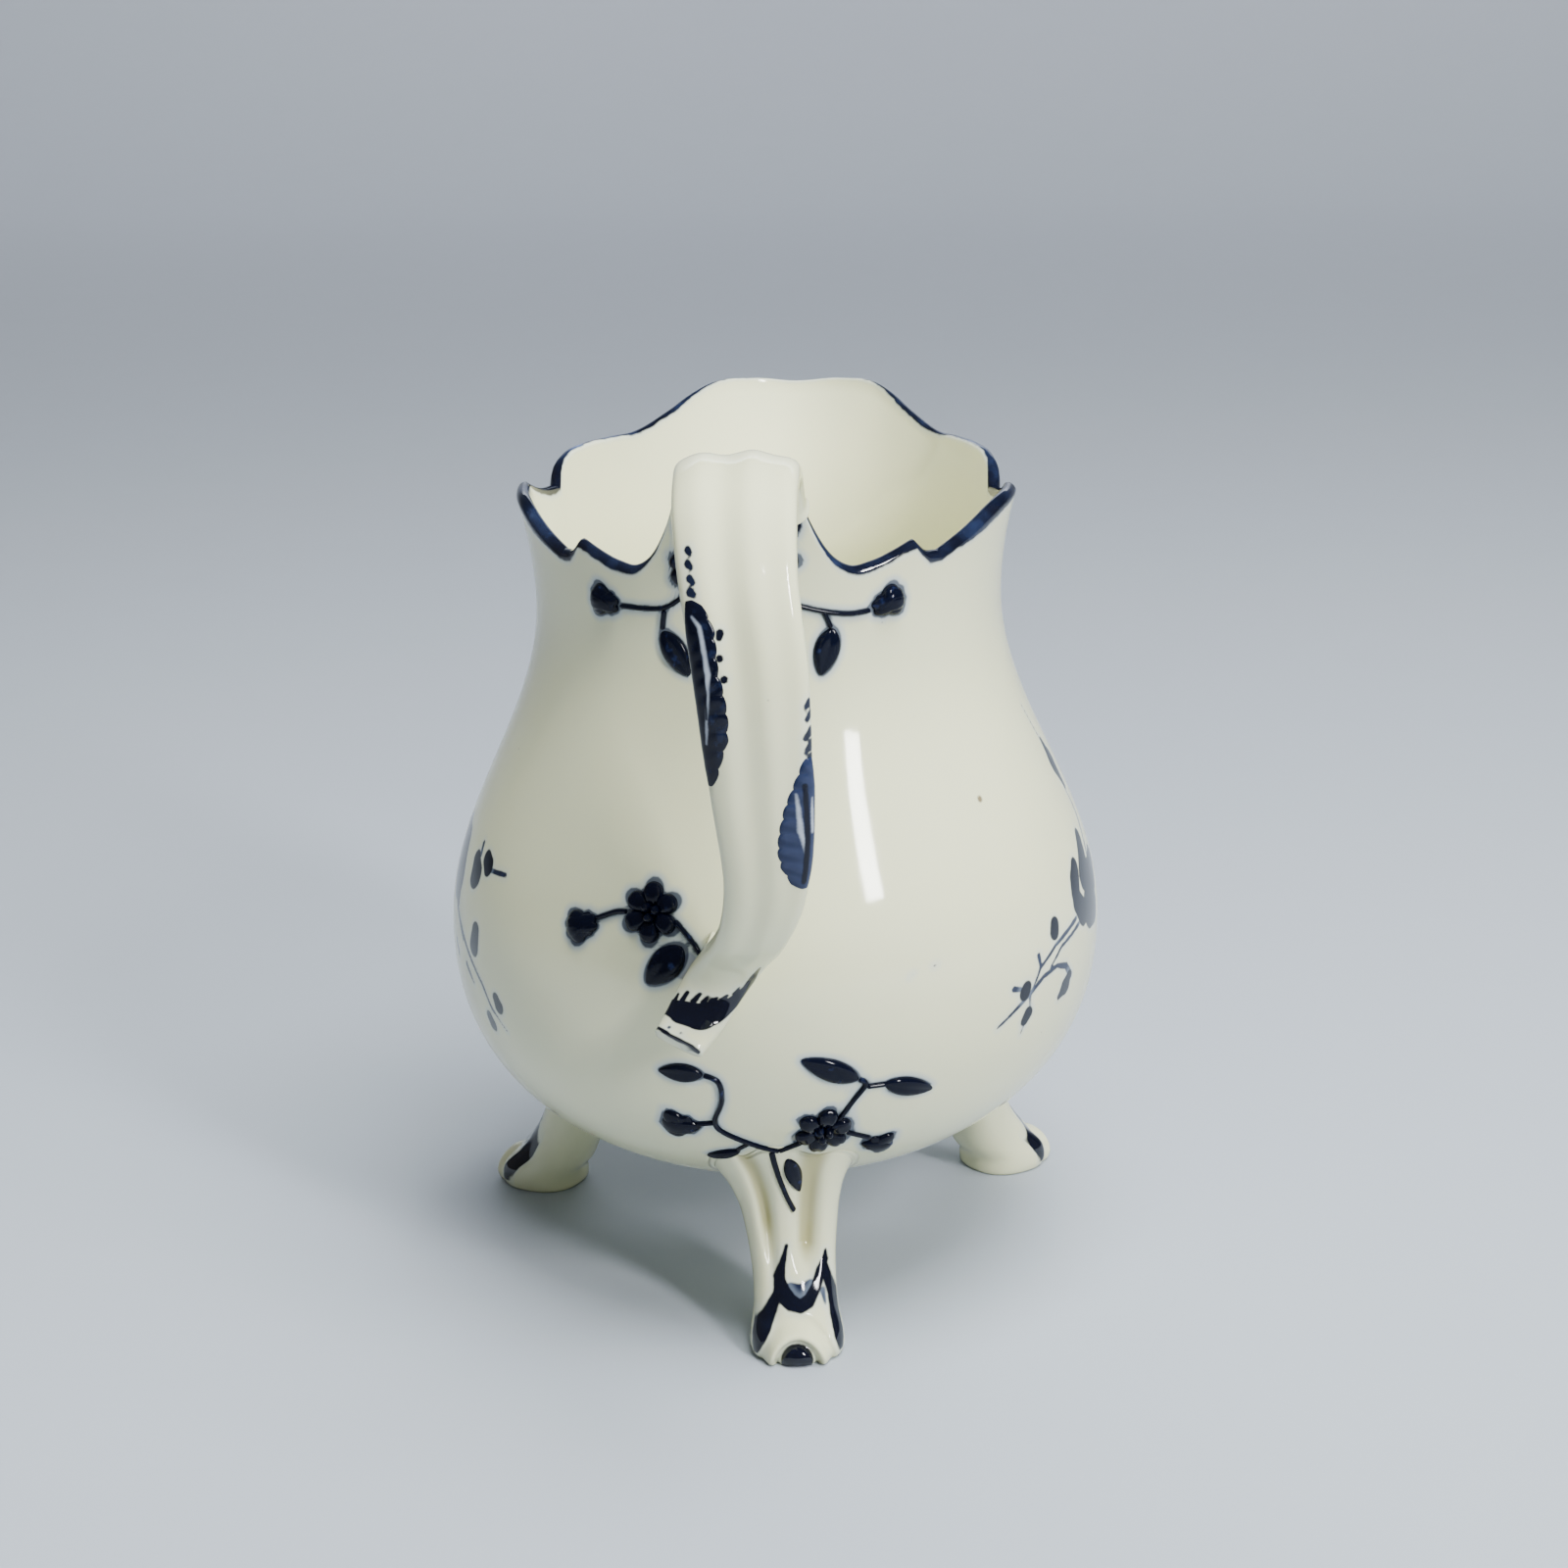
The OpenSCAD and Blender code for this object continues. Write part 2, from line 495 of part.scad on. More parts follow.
// Sprays beside the top of the handle, as places [angle, level]
UPPER_LEFT_STEMS = [
  [[-9.5, 2.45], [-15, 2.39], [-21, 2.27], [-31.8, 2.25]],
  [[-20.3, 2.22], [-21, 2.08]]
];
UPPER_RIGHT_STEMS = [
  [[9, 2.34], [16, 2.26], [23, 2.21], [27.8, 2.22]],
  [[17, 2.2], [18.6, 2.1]]
];
function placed_at(P) = [for (p = P) [p.x, level(p.y)]];
module upper_stems(S) {
  color(cobalt) clay([for (s = S) stem(placed_at(s), 2 * len(s) + 1)]);
}
module upper_leaf(p, q) {
  color(cobalt) clay([leaf([p.x, level(p.y)], [q.x, level(q.y)], 3.3)]);
}
module upper_buds(p, q) {
  color(cobalt)
    clay([flower([p.x, level(p.y)], 2.3, 3, 90, 1, flower_h, bud_sides),
          flower([q.x, level(q.y)], 1.4, 3, 30, 1, flower_h * 0.6, bud_sides)]);
}
module upper_flower(p) {
  color(cobalt) clay([flower([p.x, level(p.y)], 2.6, 5, 0, 1, flower_h)]);
}

// Spray beside the lower end of the handle
module handle_spray_stems() {
  color(cobalt)
    clay([stem([[-27.2, level(1.25)], [-24, level(1.27)], [-22.4, level(1.275)]], 3),
          stem([[-12, level(1.26)], [-9.4, level(1.21)], [-8.6, level(1.19)]], 4)]);
}
module handle_spray_leaf() {
  color(cobalt) clay([leaf([-11.4, level(1.19)], [-17.2, level(1.09)], 4)]);
}
module handle_spray_bud() {
  color(cobalt) clay([flower([-30.2, level(1.22)], 2.5, 4, 0, 0.95, flower_h, bud_sides)]);
}
module handle_spray_flower() {
  color(cobalt) clay([flower([-17.2, level(1.28)], 3.6, 6, 30, 1, flower_h)]);
}

// The box of the whole jug is centred over the origin: the handle reaches back further than
// the belly or the lip reaches forward
strap_back = max([for (k = [0 : 60]) -on_strap(strap_end * k / 60, 90).y]);
lip_front = body_r(180 + mouth_turn, rim_z(180 + mouth_turn) - lip_wall / 2);
centre_y = (strap_back - max(belly_r, lip_front)) / 2;
module placed() {
  translate([0, centre_y, 0]) children();
}

// ---------------------------------------------------------------- pieces
placed() body();
placed() strap_handle();
placed() handle_pad();
placed() handle_scroll(-1, 4.05, 5.95, 9, 62);  // handle_scroll_left
placed() handle_scroll(1, 5.85, 7.2, 7, 70);  // handle_scroll_right
placed() foot(foot_turn);  // foot_front
placed() foot(foot_turn - 120);  // foot_left
placed() foot(foot_turn + 120);  // foot_right
placed() foot_spray_stems(foot_turn);  // front_spray_stems
placed() foot_spray_leaves(foot_turn);  // front_spray_leaves
placed() foot_spray_flower(foot_turn);  // front_spray_flower
placed() foot_spray_buds(foot_turn);  // front_spray_buds
placed() foot_spray_tail(foot_turn);  // front_spray_tail
placed() foot_spray_stems(foot_turn - 120);  // left_spray_stems
placed() foot_spray_leaves(foot_turn - 120);  // left_spray_leaves
placed() foot_spray_flower(foot_turn - 120);  // left_spray_flower
placed() foot_spray_buds(foot_turn - 120);  // left_spray_buds
placed() foot_spray_tail(foot_turn - 120);  // left_spray_tail
placed() foot_spray_stems(foot_turn + 120);  // right_spray_stems
placed() foot_spray_leaves(foot_turn + 120);  // right_spray_leaves
placed() foot_spray_flower(foot_turn + 120);  // right_spray_flower
placed() foot_spray_buds(foot_turn + 120);  // right_spray_buds
placed() foot_spray_tail(foot_turn + 120);  // right_spray_tail
placed() upper_stems(UPPER_LEFT_STEMS);  // upper_left_stems
placed() upper_leaf([-21, 2.04], [-14.4, 1.9]);  // upper_left_leaf
placed() upper_buds([-36.8, 2.27], [-13.8, 2.97]);  // upper_left_buds
placed() upper_flower([-13.4, 2.64]);  // upper_left_flower
placed() upper_stems(UPPER_RIGHT_STEMS);  // upper_right_stems
placed() upper_leaf([19.2, 2.07], [16, 1.9]);  // upper_right_leaf
placed() upper_buds([32.8, 2.27], [9.6, 3.04]);  // upper_right_buds
placed() upper_flower([6.5, 2.72]);  // upper_right_flower
placed() handle_spray_stems();
placed() handle_spray_leaf();
placed() handle_spray_bud();
placed() handle_spray_flower();
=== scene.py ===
# %% [markdown]
# # Porcelain cream jug
# A small footed jug with a scalloped rim. It is cast in white porcelain, sprigs of rolled
# and pressed clay are stuck on, cobalt blue is brushed over the sprigs, the rim and the
# feet, and one clear glaze covers everything. The CAD model gives the size and the place
# of every piece. This script makes the same pieces again with fine, smooth meshes and gives
# them their glaze and paint.
#
# Lengths below are millimetres, as a potter would give them; they become metres only when a
# mesh is made.

# %% Load the frame
import json
import bpy
import numpy as np
from mathutils import Matrix, Vector

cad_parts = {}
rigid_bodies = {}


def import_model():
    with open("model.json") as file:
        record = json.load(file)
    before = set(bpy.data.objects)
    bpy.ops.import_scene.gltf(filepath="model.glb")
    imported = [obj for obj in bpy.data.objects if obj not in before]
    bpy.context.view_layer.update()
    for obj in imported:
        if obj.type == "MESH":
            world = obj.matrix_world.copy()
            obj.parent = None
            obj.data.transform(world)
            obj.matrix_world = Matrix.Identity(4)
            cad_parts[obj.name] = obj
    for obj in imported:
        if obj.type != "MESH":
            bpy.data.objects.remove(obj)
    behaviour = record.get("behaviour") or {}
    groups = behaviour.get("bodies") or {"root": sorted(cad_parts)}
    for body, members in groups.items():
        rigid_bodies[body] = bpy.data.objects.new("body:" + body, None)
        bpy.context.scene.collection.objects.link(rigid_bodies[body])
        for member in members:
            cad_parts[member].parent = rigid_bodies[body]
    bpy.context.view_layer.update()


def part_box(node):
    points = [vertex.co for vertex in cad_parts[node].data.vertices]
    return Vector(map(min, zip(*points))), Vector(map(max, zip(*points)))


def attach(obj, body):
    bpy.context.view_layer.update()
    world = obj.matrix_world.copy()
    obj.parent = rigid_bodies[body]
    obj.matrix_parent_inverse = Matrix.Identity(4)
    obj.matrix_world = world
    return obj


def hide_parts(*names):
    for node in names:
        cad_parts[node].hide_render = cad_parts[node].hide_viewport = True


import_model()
MM = 0.001

# %% [markdown]
# ## Sizes
# The sizes are those of the CAD model. Angles are in degrees round the upright axis: the
# handle is at 0, the right side seen from the handle at 90 and the pouring lip at 180.
# The axis of the body isn't the middle of the whole jug, because the handle reaches further
# back than the lip reaches forward, so the axis is found from the box of the body.

# %% Sizes of the jug
BELLY_R, BELLY_Z = 44.5, 47.5
NECK_R, NECK_Z = 31.2, 93.0
MOUTH_R, MOUTH_Z = 33.0, 107.5
BOTTOM_Z, WALL, LIP_WALL = 13.6, 2.6, 1.8
BOWL_ACROSS, BOWL_UP = 2.2, 2.3
FLARE_Z, FLARE_RISE = 83.9, 27.0
MOUTH_TURN, FOOT_TURN = -2.0, 7.0
AXIS_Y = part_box("body")[0].y / MM + BELLY_R
TURN = np.pi / 180
print("axis of the body at y =", round(AXIS_Y, 2), "mm")

# %% [markdown]
# ## Curves
# A potter works to a profile. Here a profile is a short list of points, and two kinds of
# curve run through such a list: one gives a height for each angle, the other a path in
# space. Both are worked out for whole arrays at once.

# %% Curves through short lists of points
def smooth_curve(points, x):
    """Height at x of the cubic that passes through each point. Its slope at a point is the
    mean of the slopes on each side, weighted by the other side's length; it is level at the
    handle (0) and at the lip (180)."""
    px, py = np.array(points, float).T
    width, rise = np.diff(px), np.diff(py)
    pitch = rise / width
    slope = np.empty_like(px)
    slope[1:-1] = (pitch[:-1] * width[1:] + pitch[1:] * width[:-1]) / (px[2:] - px[:-2])
    slope[0] = 0 if px[0] == 0 else pitch[0]
    slope[-1] = 0 if px[-1] == 180 else pitch[-1]
    i = np.clip(np.searchsorted(px, x, side="right") - 1, 0, len(px) - 2)
    h = width[i]
    t = (x - px[i]) / h
    return ((2 * t**3 - 3 * t**2 + 1) * py[i] + (t**3 - 2 * t**2 + t) * h * slope[i]
            + (3 * t**2 - 2 * t**3) * py[i + 1] + (t**3 - t**2) * h * slope[i + 1])


def smooth_path(points, t):
    """Place on the path at t, counted in points: between two points a cubic whose direction
    at each of them is that from the point before to the point after."""
    points = np.array(points, float)
    last = len(points) - 1
    i = np.clip(np.floor(t).astype(int), 0, last - 1)
    f = (t - i)[..., None]
    a, b = points[np.maximum(i - 1, 0)], points[i]
    c, d = points[i + 1], points[np.minimum(i + 2, last)]
    return b + f / 2 * (c - a + f * (2 * a - 5 * b + 4 * c - d + f * (3 * (b - c) + d - a)))


def unit(v):
    """Each vector of an array at length 1."""
    return v / np.maximum(np.linalg.norm(v, axis=-1, keepdims=True), 1e-12)


# %% [markdown]
# ## The skin of the body
# The body is round up to the neck: a full, slightly squared bowl, then a wave-shaped
# shoulder. Above that it leaves the round. It pinches in before the lip and reaches out into
# it. The rim rises and falls on its own curve, which is broken at four sharp corners, as a
# rim trimmed with a knife is. Every other piece is placed with the same functions, so
# everything that is stuck on follows the skin.

# %% Rim, radius and skin
PEAK, DIP, RISE = 8.2, 5.5, 6.8
RIM_RUNS = [
    [(0, PEAK), (8, 0.96 * PEAK), (11, 0.83 * PEAK), (13.4, 0.5 * PEAK), (15.4, 0.16 * PEAK),
     (17.5, -0.18 * DIP), (20.4, -0.62 * DIP), (25.7, -DIP), (31, -0.96 * DIP),
     (37, -0.78 * DIP), (42.2, -0.58 * DIP)],
    [(42.2, -0.58 * DIP), (46, -0.87 * DIP), (50.5, -0.95 * DIP)],
    [(50.5, -0.95 * DIP), (60, -0.62 * DIP), (72, -0.2 * DIP), (86, 0)],
    [(86, 0), (95, -0.3 * DIP), (104, -0.38 * DIP)],
    [(104, -0.38 * DIP), (106.5, 0), (111, 0.21 * RISE), (120, 0.32 * RISE),
     (130, 0.31 * RISE), (140, 0.31 * RISE), (150, 0.59 * RISE), (157, 0.85 * RISE),
     (163, RISE), (171, 0.97 * RISE), (180, 0.87 * RISE)],
]
LIP_REACH = 7.7
FLARE = [(0, 0), (25, 0.3), (48, 0.2), (70, 0.6), (86, 0.9), (104, -0.9), (120, -1.2),
         (140, 0.12 * LIP_REACH), (150, 0.26 * LIP_REACH), (162, 0.57 * LIP_REACH),
         (180, LIP_REACH)]


def fold(angle):
    """Angle from the back of the mouth, the same on both sides: 0 to 180."""
    return np.abs((angle - MOUTH_TURN + 540) % 360 - 180)


def rim_z(angle):
    """Height of the rim: the curve of the run that the angle lies in."""
    half = fold(np.asarray(angle, float))
    height = np.zeros_like(half)
    for run in RIM_RUNS:
        inside = (half >= run[0][0]) & (half <= run[-1][0])
        height = np.where(inside, smooth_curve(run, half), height)
    return MOUTH_Z + height


def round_r(z):
    """Radius of the round body: a superellipse below the belly, half a cosine wave up to the
    neck, and a parabola above it."""
    down = np.clip((BELLY_Z - z) / (BELLY_Z - BOTTOM_Z), 0, 1)
    bowl = BELLY_R * np.clip(1 - down**BOWL_UP, 0, 1) ** (1 / BOWL_ACROSS)
    up = np.clip((z - BELLY_Z) / (NECK_Z - BELLY_Z), 0, 1)
    shoulder = BELLY_R + (NECK_R - BELLY_R) * (1 - np.cos(np.pi * up)) / 2
    flare = NECK_R + (MOUTH_R - NECK_R) * (np.maximum(z - NECK_Z, 0) / (MOUTH_Z - NECK_Z)) ** 2
    return np.where(z < BELLY_Z, bowl, np.where(z < NECK_Z, shoulder, flare))


def body_r(angle, z):
    """The round radius, and above FLARE_Z a growing share of the mouth's own shape."""
    share = np.clip((z - FLARE_Z) / FLARE_RISE, 0, 2) ** 2
    return round_r(z) + smooth_curve(FLARE, fold(np.asarray(angle, float))) * share


def turned(radius, angle, z):
    """Point at a radius, an angle from the handle and a height."""
    a = np.asarray(angle) * TURN
    return np.stack(np.broadcast_arrays(radius * np.sin(a), -radius * np.cos(a), z), -1)


def skin(angle, z):
    """Point of the outside at an angle and a height."""
    return turned(body_r(angle, z), angle, z)


def outward(angle, z):
    """Direction square to the skin: across the steps to each side and up and down."""
    return unit(np.cross(skin(angle + 0.5, z) - skin(angle - 0.5, z),
                         skin(angle, z + 0.1) - skin(angle, z - 0.1)))


def beside(angle, z, right, up, out):
    """Point near the one at an angle and a height: moved to the right and up along the
    skin, and then out from it."""
    radius, way = body_r(angle, z), outward(angle, z)
    angle2 = angle + right / radius / TURN
    z2 = z + up * np.hypot(way[..., 0], way[..., 1])
    return skin(angle2, z2) + np.asarray(out)[..., None] * outward(angle2, z2)


def under_z(radius):
    """Height of the underside above a point at a radius from the axis."""
    share = np.clip(radius / BELLY_R, 0, 1) ** BOWL_ACROSS
    return BELLY_Z - (BELLY_Z - BOTTOM_Z) * (1 - share) ** (1 / BOWL_UP)


print("rim from", rim_z(np.arange(360)).min().round(1), "to", rim_z(np.arange(360)).max().round(1))

# %% [markdown]
# ## From rings to a mesh
# Everything on this jug, from the body to a bud, can be made as a stack of closed rings with
# a point at each end, like a coil pot. So one helper turns a grid of points into a closed
# skin. A UV map lays each piece out flat, and named attributes, called marks here, carry the
# numbers that the paint is worked out from. The last column of the map is given apart from
# the first, so nothing smears where a ring closes.

# %% Rings to a closed mesh
def loft(rings, low, high, chart, **marks):
    """A closed skin over m rings of n points, with a point at each end. The rings run
    anticlockwise seen from the high end. chart is an m by n + 1 grid of pairs, and each
    mark an m by n grid of numbers."""
    m, n = rings.shape[:2]
    points = np.concatenate([rings.reshape(-1, 3), [low], [high]])
    here = np.arange(n)
    after = (here + 1) % n
    row = np.arange(m - 1)[:, None] * n
    quads = np.stack([row + here, row + after, row + n + after, row + n + here], -1)
    top = (m - 1) * n
    fans = np.concatenate([
        np.stack([after, here, np.full(n, m * n)], -1),
        np.stack([top + here, top + after, np.full(n, m * n + 1)], -1)])
    a, b = chart[:, :-1], chart[:, 1:]
    quad_uv = np.stack([a[:-1], b[:-1], b[1:], a[1:]], 2)
    fan_uv = np.concatenate([
        np.stack([b[0], a[0], (a[0] + b[0]) / 2], 1),
        np.stack([a[-1], b[-1], (a[-1] + b[-1]) / 2], 1)])
    values = {k: np.concatenate([v.ravel(), [v[0].mean(), v[-1].mean()]])
              for k, v in marks.items()}
    return dict(points=points, quads=quads.reshape(-1, 4), fans=fans,
                uv=np.concatenate([quad_uv.reshape(-1, 2), fan_uv.reshape(-1, 2)]),
                marks=values)


def volume(points, faces):
    """Volume inside closed faces: the sum of the cones from the origin to each."""
    p = points[faces]
    total = np.einsum("ij,ij->", p[:, 0], np.cross(p[:, 1], p[:, 2]))
    if faces.shape[1] == 4:
        total += np.einsum("ij,ij->", p[:, 0], np.cross(p[:, 2], p[:, 3]))
    return total / 6


def make_piece(name, lofts, nodes):
    """One object from one or more lofts. It rides on the jug's one body and stands for its CAD
    nodes."""
    points = np.concatenate([s["points"] for s in lofts])
    starts = np.cumsum([0] + [len(s["points"]) for s in lofts[:-1]])
    faces = [s[k] + at for s, at in zip(lofts, starts) for k in ("quads", "fans")]
    corners = np.concatenate([f.ravel() for f in faces])
    sizes = np.concatenate([np.full(len(f), f.shape[1]) for f in faces])
    mesh = bpy.data.meshes.new(name)
    mesh.vertices.add(len(points))
    mesh.vertices.foreach_set("co", ((points + (0, AXIS_Y, 0)) * MM).ravel())
    mesh.loops.add(len(corners))
    mesh.loops.foreach_set("vertex_index", corners)
    mesh.polygons.add(len(sizes))
    mesh.polygons.foreach_set("loop_start", np.cumsum([0, *sizes[:-1]]))
    mesh.update(calc_edges=True)
    layer = mesh.uv_layers.new(name="chart")
    layer.data.foreach_set("uv", np.concatenate([s["uv"] for s in lofts]).ravel())
    for mark in lofts[0]["marks"]:
        attribute = mesh.attributes.new(mark, "FLOAT", "POINT")
        attribute.data.foreach_set("value", np.concatenate([s["marks"][mark] for s in lofts]))
    mesh.shade_smooth()
    piece = bpy.data.objects.new(name, mesh)
    bpy.context.scene.collection.objects.link(piece)
    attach(piece, "root")
    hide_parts(*nodes)
    inside = sum(volume(points, f) for f in faces)
    print(f"{name}: {(sizes - 2).sum()} triangles, {inside:.1f} cubic mm")
    return piece


# %% [markdown]
# ## Brush strokes
# All the paint on this jug is brush strokes. A stroke is a line from one place to another
# with a width at each end, like the mark of a pointed brush. How far each point of a mesh is
# outside the nearest stroke is kept as a mark, and the material turns the mark into paint
# with a soft edge. Distances blend well between the points of a mesh, so this gives a clean
# edge as long as the mesh is about as fine as the brush. That is why the painted pieces have
# so many rows and columns.

# %% Distance to strokes
def stroke_gap(x, y, *lines):
    """Distance outside the nearest of many strokes. A stroke is a row of (x, y, radius): the
    distance to the nearest place of each stretch, less the radius there."""
    gap = np.full(np.broadcast(x, y).shape, 9.0)
    for line in lines:
        for a, b in zip(line, line[1:] or line):
            dx, dy = b[0] - a[0], b[1] - a[1]
            span = max(dx * dx + dy * dy, 1e-9)
            t = np.clip(((x - a[0]) * dx + (y - a[1]) * dy) / span, 0, 1)
            away = np.hypot(x - a[0] - t * dx, y - a[1] - t * dy)
            gap = np.minimum(gap, away - a[2] - t * (b[2] - a[2]))
    return gap


# %% [markdown]
# ## Body
# The real body is slip-cast: one wall, a little thicker below than at the rim, with a
# rounded edge. A lathe with two booleans could make a round one, but not a rim like this, so
# the wall is one stack of rings: out along the underside, up the outside, over the edge and
# down the inside. The columns stand closer together where the rim turns quickly, with one
# column exactly on each sharp corner. Three marks go with it: how far a point is from the
# edge, how wide the blue is brushed there, and how deep that blue is.

# %% Columns and rows of the body
STEPS = [43, 14, 79, 26, 46]
half = np.concatenate([np.linspace(run[0][0], run[-1][0], n, endpoint=False)
                       for run, n in zip(RIM_RUNS, STEPS)])
columns = np.concatenate([half, [180], 360 - half[:0:-1]]) + MOUTH_TURN
columns = np.roll(columns, -int(np.searchsorted(columns, 180)))
columns = np.where(columns >= 180, columns - 360, columns)


def wall_rows(inside):
    """Rows up the skin, moved in square to it by the wall on the inside. Below the belly a
    row is a circle of the superellipse; above it the rows share out the height to the edge."""
    turn = (np.linspace(2, 90, 24, endpoint=False) if inside else np.concatenate(
        [np.linspace(2, 76, 26, endpoint=False), np.linspace(76, 90, 30, endpoint=False)]))
    turn = turn * TURN
    radius = BELLY_R * np.sin(turn) ** (2 / BOWL_ACROSS)
    z = BELLY_Z - (BELLY_Z - BOTTOM_Z) * np.cos(turn) ** (2 / BOWL_UP)
    square = np.stack([(radius / BELLY_R) ** (BOWL_ACROSS - 1) * BOWL_ACROSS / BELLY_R,
                       -np.cos(turn) ** (2 - 2 / BOWL_UP) * BOWL_UP / (BELLY_Z - BOTTOM_Z)], -1)
    square = unit(square) * (WALL if inside else 0)
    bowl = turned((radius - square[:, 0])[:, None], columns, (z - square[:, 1])[:, None])
    angles = columns[None, :]
    lower = (np.linspace(BELLY_Z, FLARE_Z, 14, endpoint=False) if inside else np.concatenate(
        [np.linspace(BELLY_Z, 72, 74, endpoint=False),
         np.linspace(72, FLARE_Z, 14, endpoint=False)]))[:, None]
    share = np.linspace(0, 1, 14 if inside else 32)[:, None]
    share = share + 0.12 * np.sin(np.pi * share)
    upper = FLARE_Z + (rim_z(columns) - LIP_WALL / 2 - FLARE_Z) * share
    wall = WALL + (LIP_WALL - WALL) * share
    depth = [WALL, wall] if inside else [0, 0 * wall]
    rows = [skin(angles + 0 * zz, zz + 0 * angles)
            - np.asarray(d)[..., None] * outward(angles + 0 * zz, zz + 0 * angles)
            for zz, d in zip([lower, upper], depth)]
    return np.concatenate([bowl, *rows])


def edge_rows(count):
    """Half-round rows over the edge, from the outside to the inside."""
    z = rim_z(columns) - LIP_WALL / 2
    way = outward(columns, z)
    turn = np.linspace(0, np.pi, count + 2)[1:-1, None, None]
    r = LIP_WALL / 2
    return skin(columns, z) - r * way + r * (np.cos(turn) * way
                                             + np.sin(turn) * np.array([0, 0, 1]))


outside, inside = wall_rows(False), wall_rows(True)
body_rings = np.concatenate([outside, edge_rows(9), inside[::-1]])
travel = np.linalg.norm(np.diff(body_rings, axis=0), axis=-1).cumsum(0)
travel = np.concatenate([np.zeros((1, len(columns))), travel])
crest = travel[len(outside) + 4]
from_edge = crest - travel
print("body rings:", body_rings.shape)

# %% [markdown]
# The brush that blued the rim was loaded and then ran dry again and again, so the blue
# swells in the hollows, thins on the level stretches, and nearly misses the top of the lip.

# %% Width and depth of the rim's blue
BAND = [(0, 0.9), (12, 1.0), (20, 1.4), (30, 1.6), (40, 1.4), (46, 1.9), (52, 1.7), (62, 2.1),
        (74, 2.3), (86, 1.8), (95, 2.1), (102, 2.2), (108, 1.0), (120, 0.7), (132, 0.9),
        (146, 1.5), (156, 1.2), (166, 0.6), (180, 0.5)]
DEPTH = [(0, 0.7), (14, 0.75), (30, 0.85), (42, 0.95), (50, 1.05), (60, 0.75), (74, 0.95),
         (86, 0.95), (96, 1.15), (104, 1.05), (112, 0.7), (130, 0.6), (148, 0.95),
         (158, 0.8), (168, 0.5), (180, 0.4)]
band = smooth_curve(BAND, fold(columns))
depth = smooth_curve(DEPTH, fold(columns))
level = np.ones((len(body_rings), 1))
print("blue on the rim is", band.min().round(2), "to", band.max().round(2), "mm wide")

# %% [markdown]
# ## Strap handle
# The handle is a flat strap of clay, drawn out wide at the top and narrow below, bent over
# and pressed on, with its lower end kicked out. It is a section carried along a path: a
# squared oval that changes width and thickness as it goes. Soft ribs run down its front,
# left by the fingers that drew it, and its root and the place where it meets the belly swell
# a little, where the join was smoothed with wet clay.

# %% Path and section of the strap
HANDLE_Z, REACH, STRAP_W, STRAP_T = 119.0, 61.5, 15.2, 4.8
CREST_Z = HANDLE_Z - STRAP_T / 2
SEAT_Z, LOWER_Z, LOWER_Y = MOUTH_Z + 3, BELLY_Z + 6, BELLY_R + 3.4
SEAT_R = float(body_r(0.0, SEAT_Z))
STRAP = [(-0.2, SEAT_R + 0.6, SEAT_Z), (-0.2, SEAT_R + 4.6, CREST_Z - 1.6),
         (0, SEAT_R + 11, CREST_Z), (0.4, REACH - 8, CREST_Z - 3),
         (1.2, REACH - 2.6, CREST_Z - 10.5), (2.7, REACH - 0.3, CREST_Z - 20.5),
         (3.5, REACH, LOWER_Z + 29), (3.7, REACH - 1.6, LOWER_Z + 17.5),
         (1.7, REACH - 5.6, LOWER_Z + 9.5), (-1.4, LOWER_Y + 2.2, LOWER_Z + 4),
         (-3.9, LOWER_Y, LOWER_Z), (-6.1, LOWER_Y + 1.2, LOWER_Z - 3.6),
         (-8.2, LOWER_Y + 4.2, LOWER_Z - 6.2)]
WIDE = np.array([(0, 1.02), (1, 1.01), (2, 1), (3, 0.97), (4, 0.91), (5, 0.87), (6, 0.8),
                 (7, 0.67), (8, 0.56), (9, 0.52), (10, 0.5), (11, 0.49), (12, 0.44)])
THICK = np.array([(0, 1.35), (1, 1.12), (2, 1), (5, 0.92), (8, 0.84), (10, 0.8), (12, 0.55)])
STRAP_END, STRAP_SQUARE = 12, 2.8


def strap_mid(t):
    """Middle of the strap at place t, counted in points of its path."""
    return smooth_path(STRAP, t) * (1, -1, 1)


def on_strap(t, w, out=0.0):
    """Point of the strap at place t and section angle w in degrees, 90 facing away from the
    body, moved out from its skin. The section is a superellipse across the path, and its
    front carries three soft ribs that fade towards the lower end."""
    t, w = np.broadcast_arrays(np.asarray(t, float), np.asarray(w, float))
    along = unit(strap_mid(np.minimum(t + 0.1, STRAP_END)) - strap_mid(np.maximum(t - 0.1, 0)))
    across = unit(np.array([1.0, 0, 0]) - along[..., :1] * along)
    back = np.cross(across, along)
    c, s = np.cos(w * TURN), np.sin(w * TURN)
    x = np.sign(c) * np.abs(c) ** (2 / STRAP_SQUARE)
    y = np.sign(s) * np.abs(s) ** (2 / STRAP_SQUARE)
    wide = STRAP_W / 2 * np.interp(t, *WIDE.T) + out
    thick = STRAP_T / 2 * np.interp(t, *THICK.T) + out
    rib = 0.32 * np.cos(7 * (x - 0.25)) * np.clip(s, 0, 1) * np.clip((9.5 - t) / 5, 0, 1)
    rib = rib * np.clip(t / 1.5, 0, 1)
    return (strap_mid(t) + (x * wide)[..., None] * across
            - (y * thick + rib * (1 - x * x))[..., None] * back)


def seated(p, gap=0.0):
    """A point moved straight onto the skin of the body."""
    angle = np.arctan2(p[..., 0], -p[..., 1]) / TURN
    return skin(angle, p[..., 2]) + gap * outward(angle, p[..., 2])


# %% [markdown]
# The map of the strap is in millimetres of its own: across from the middle of the front, and
# down along the path. The seam is at the back, where nobody looks.

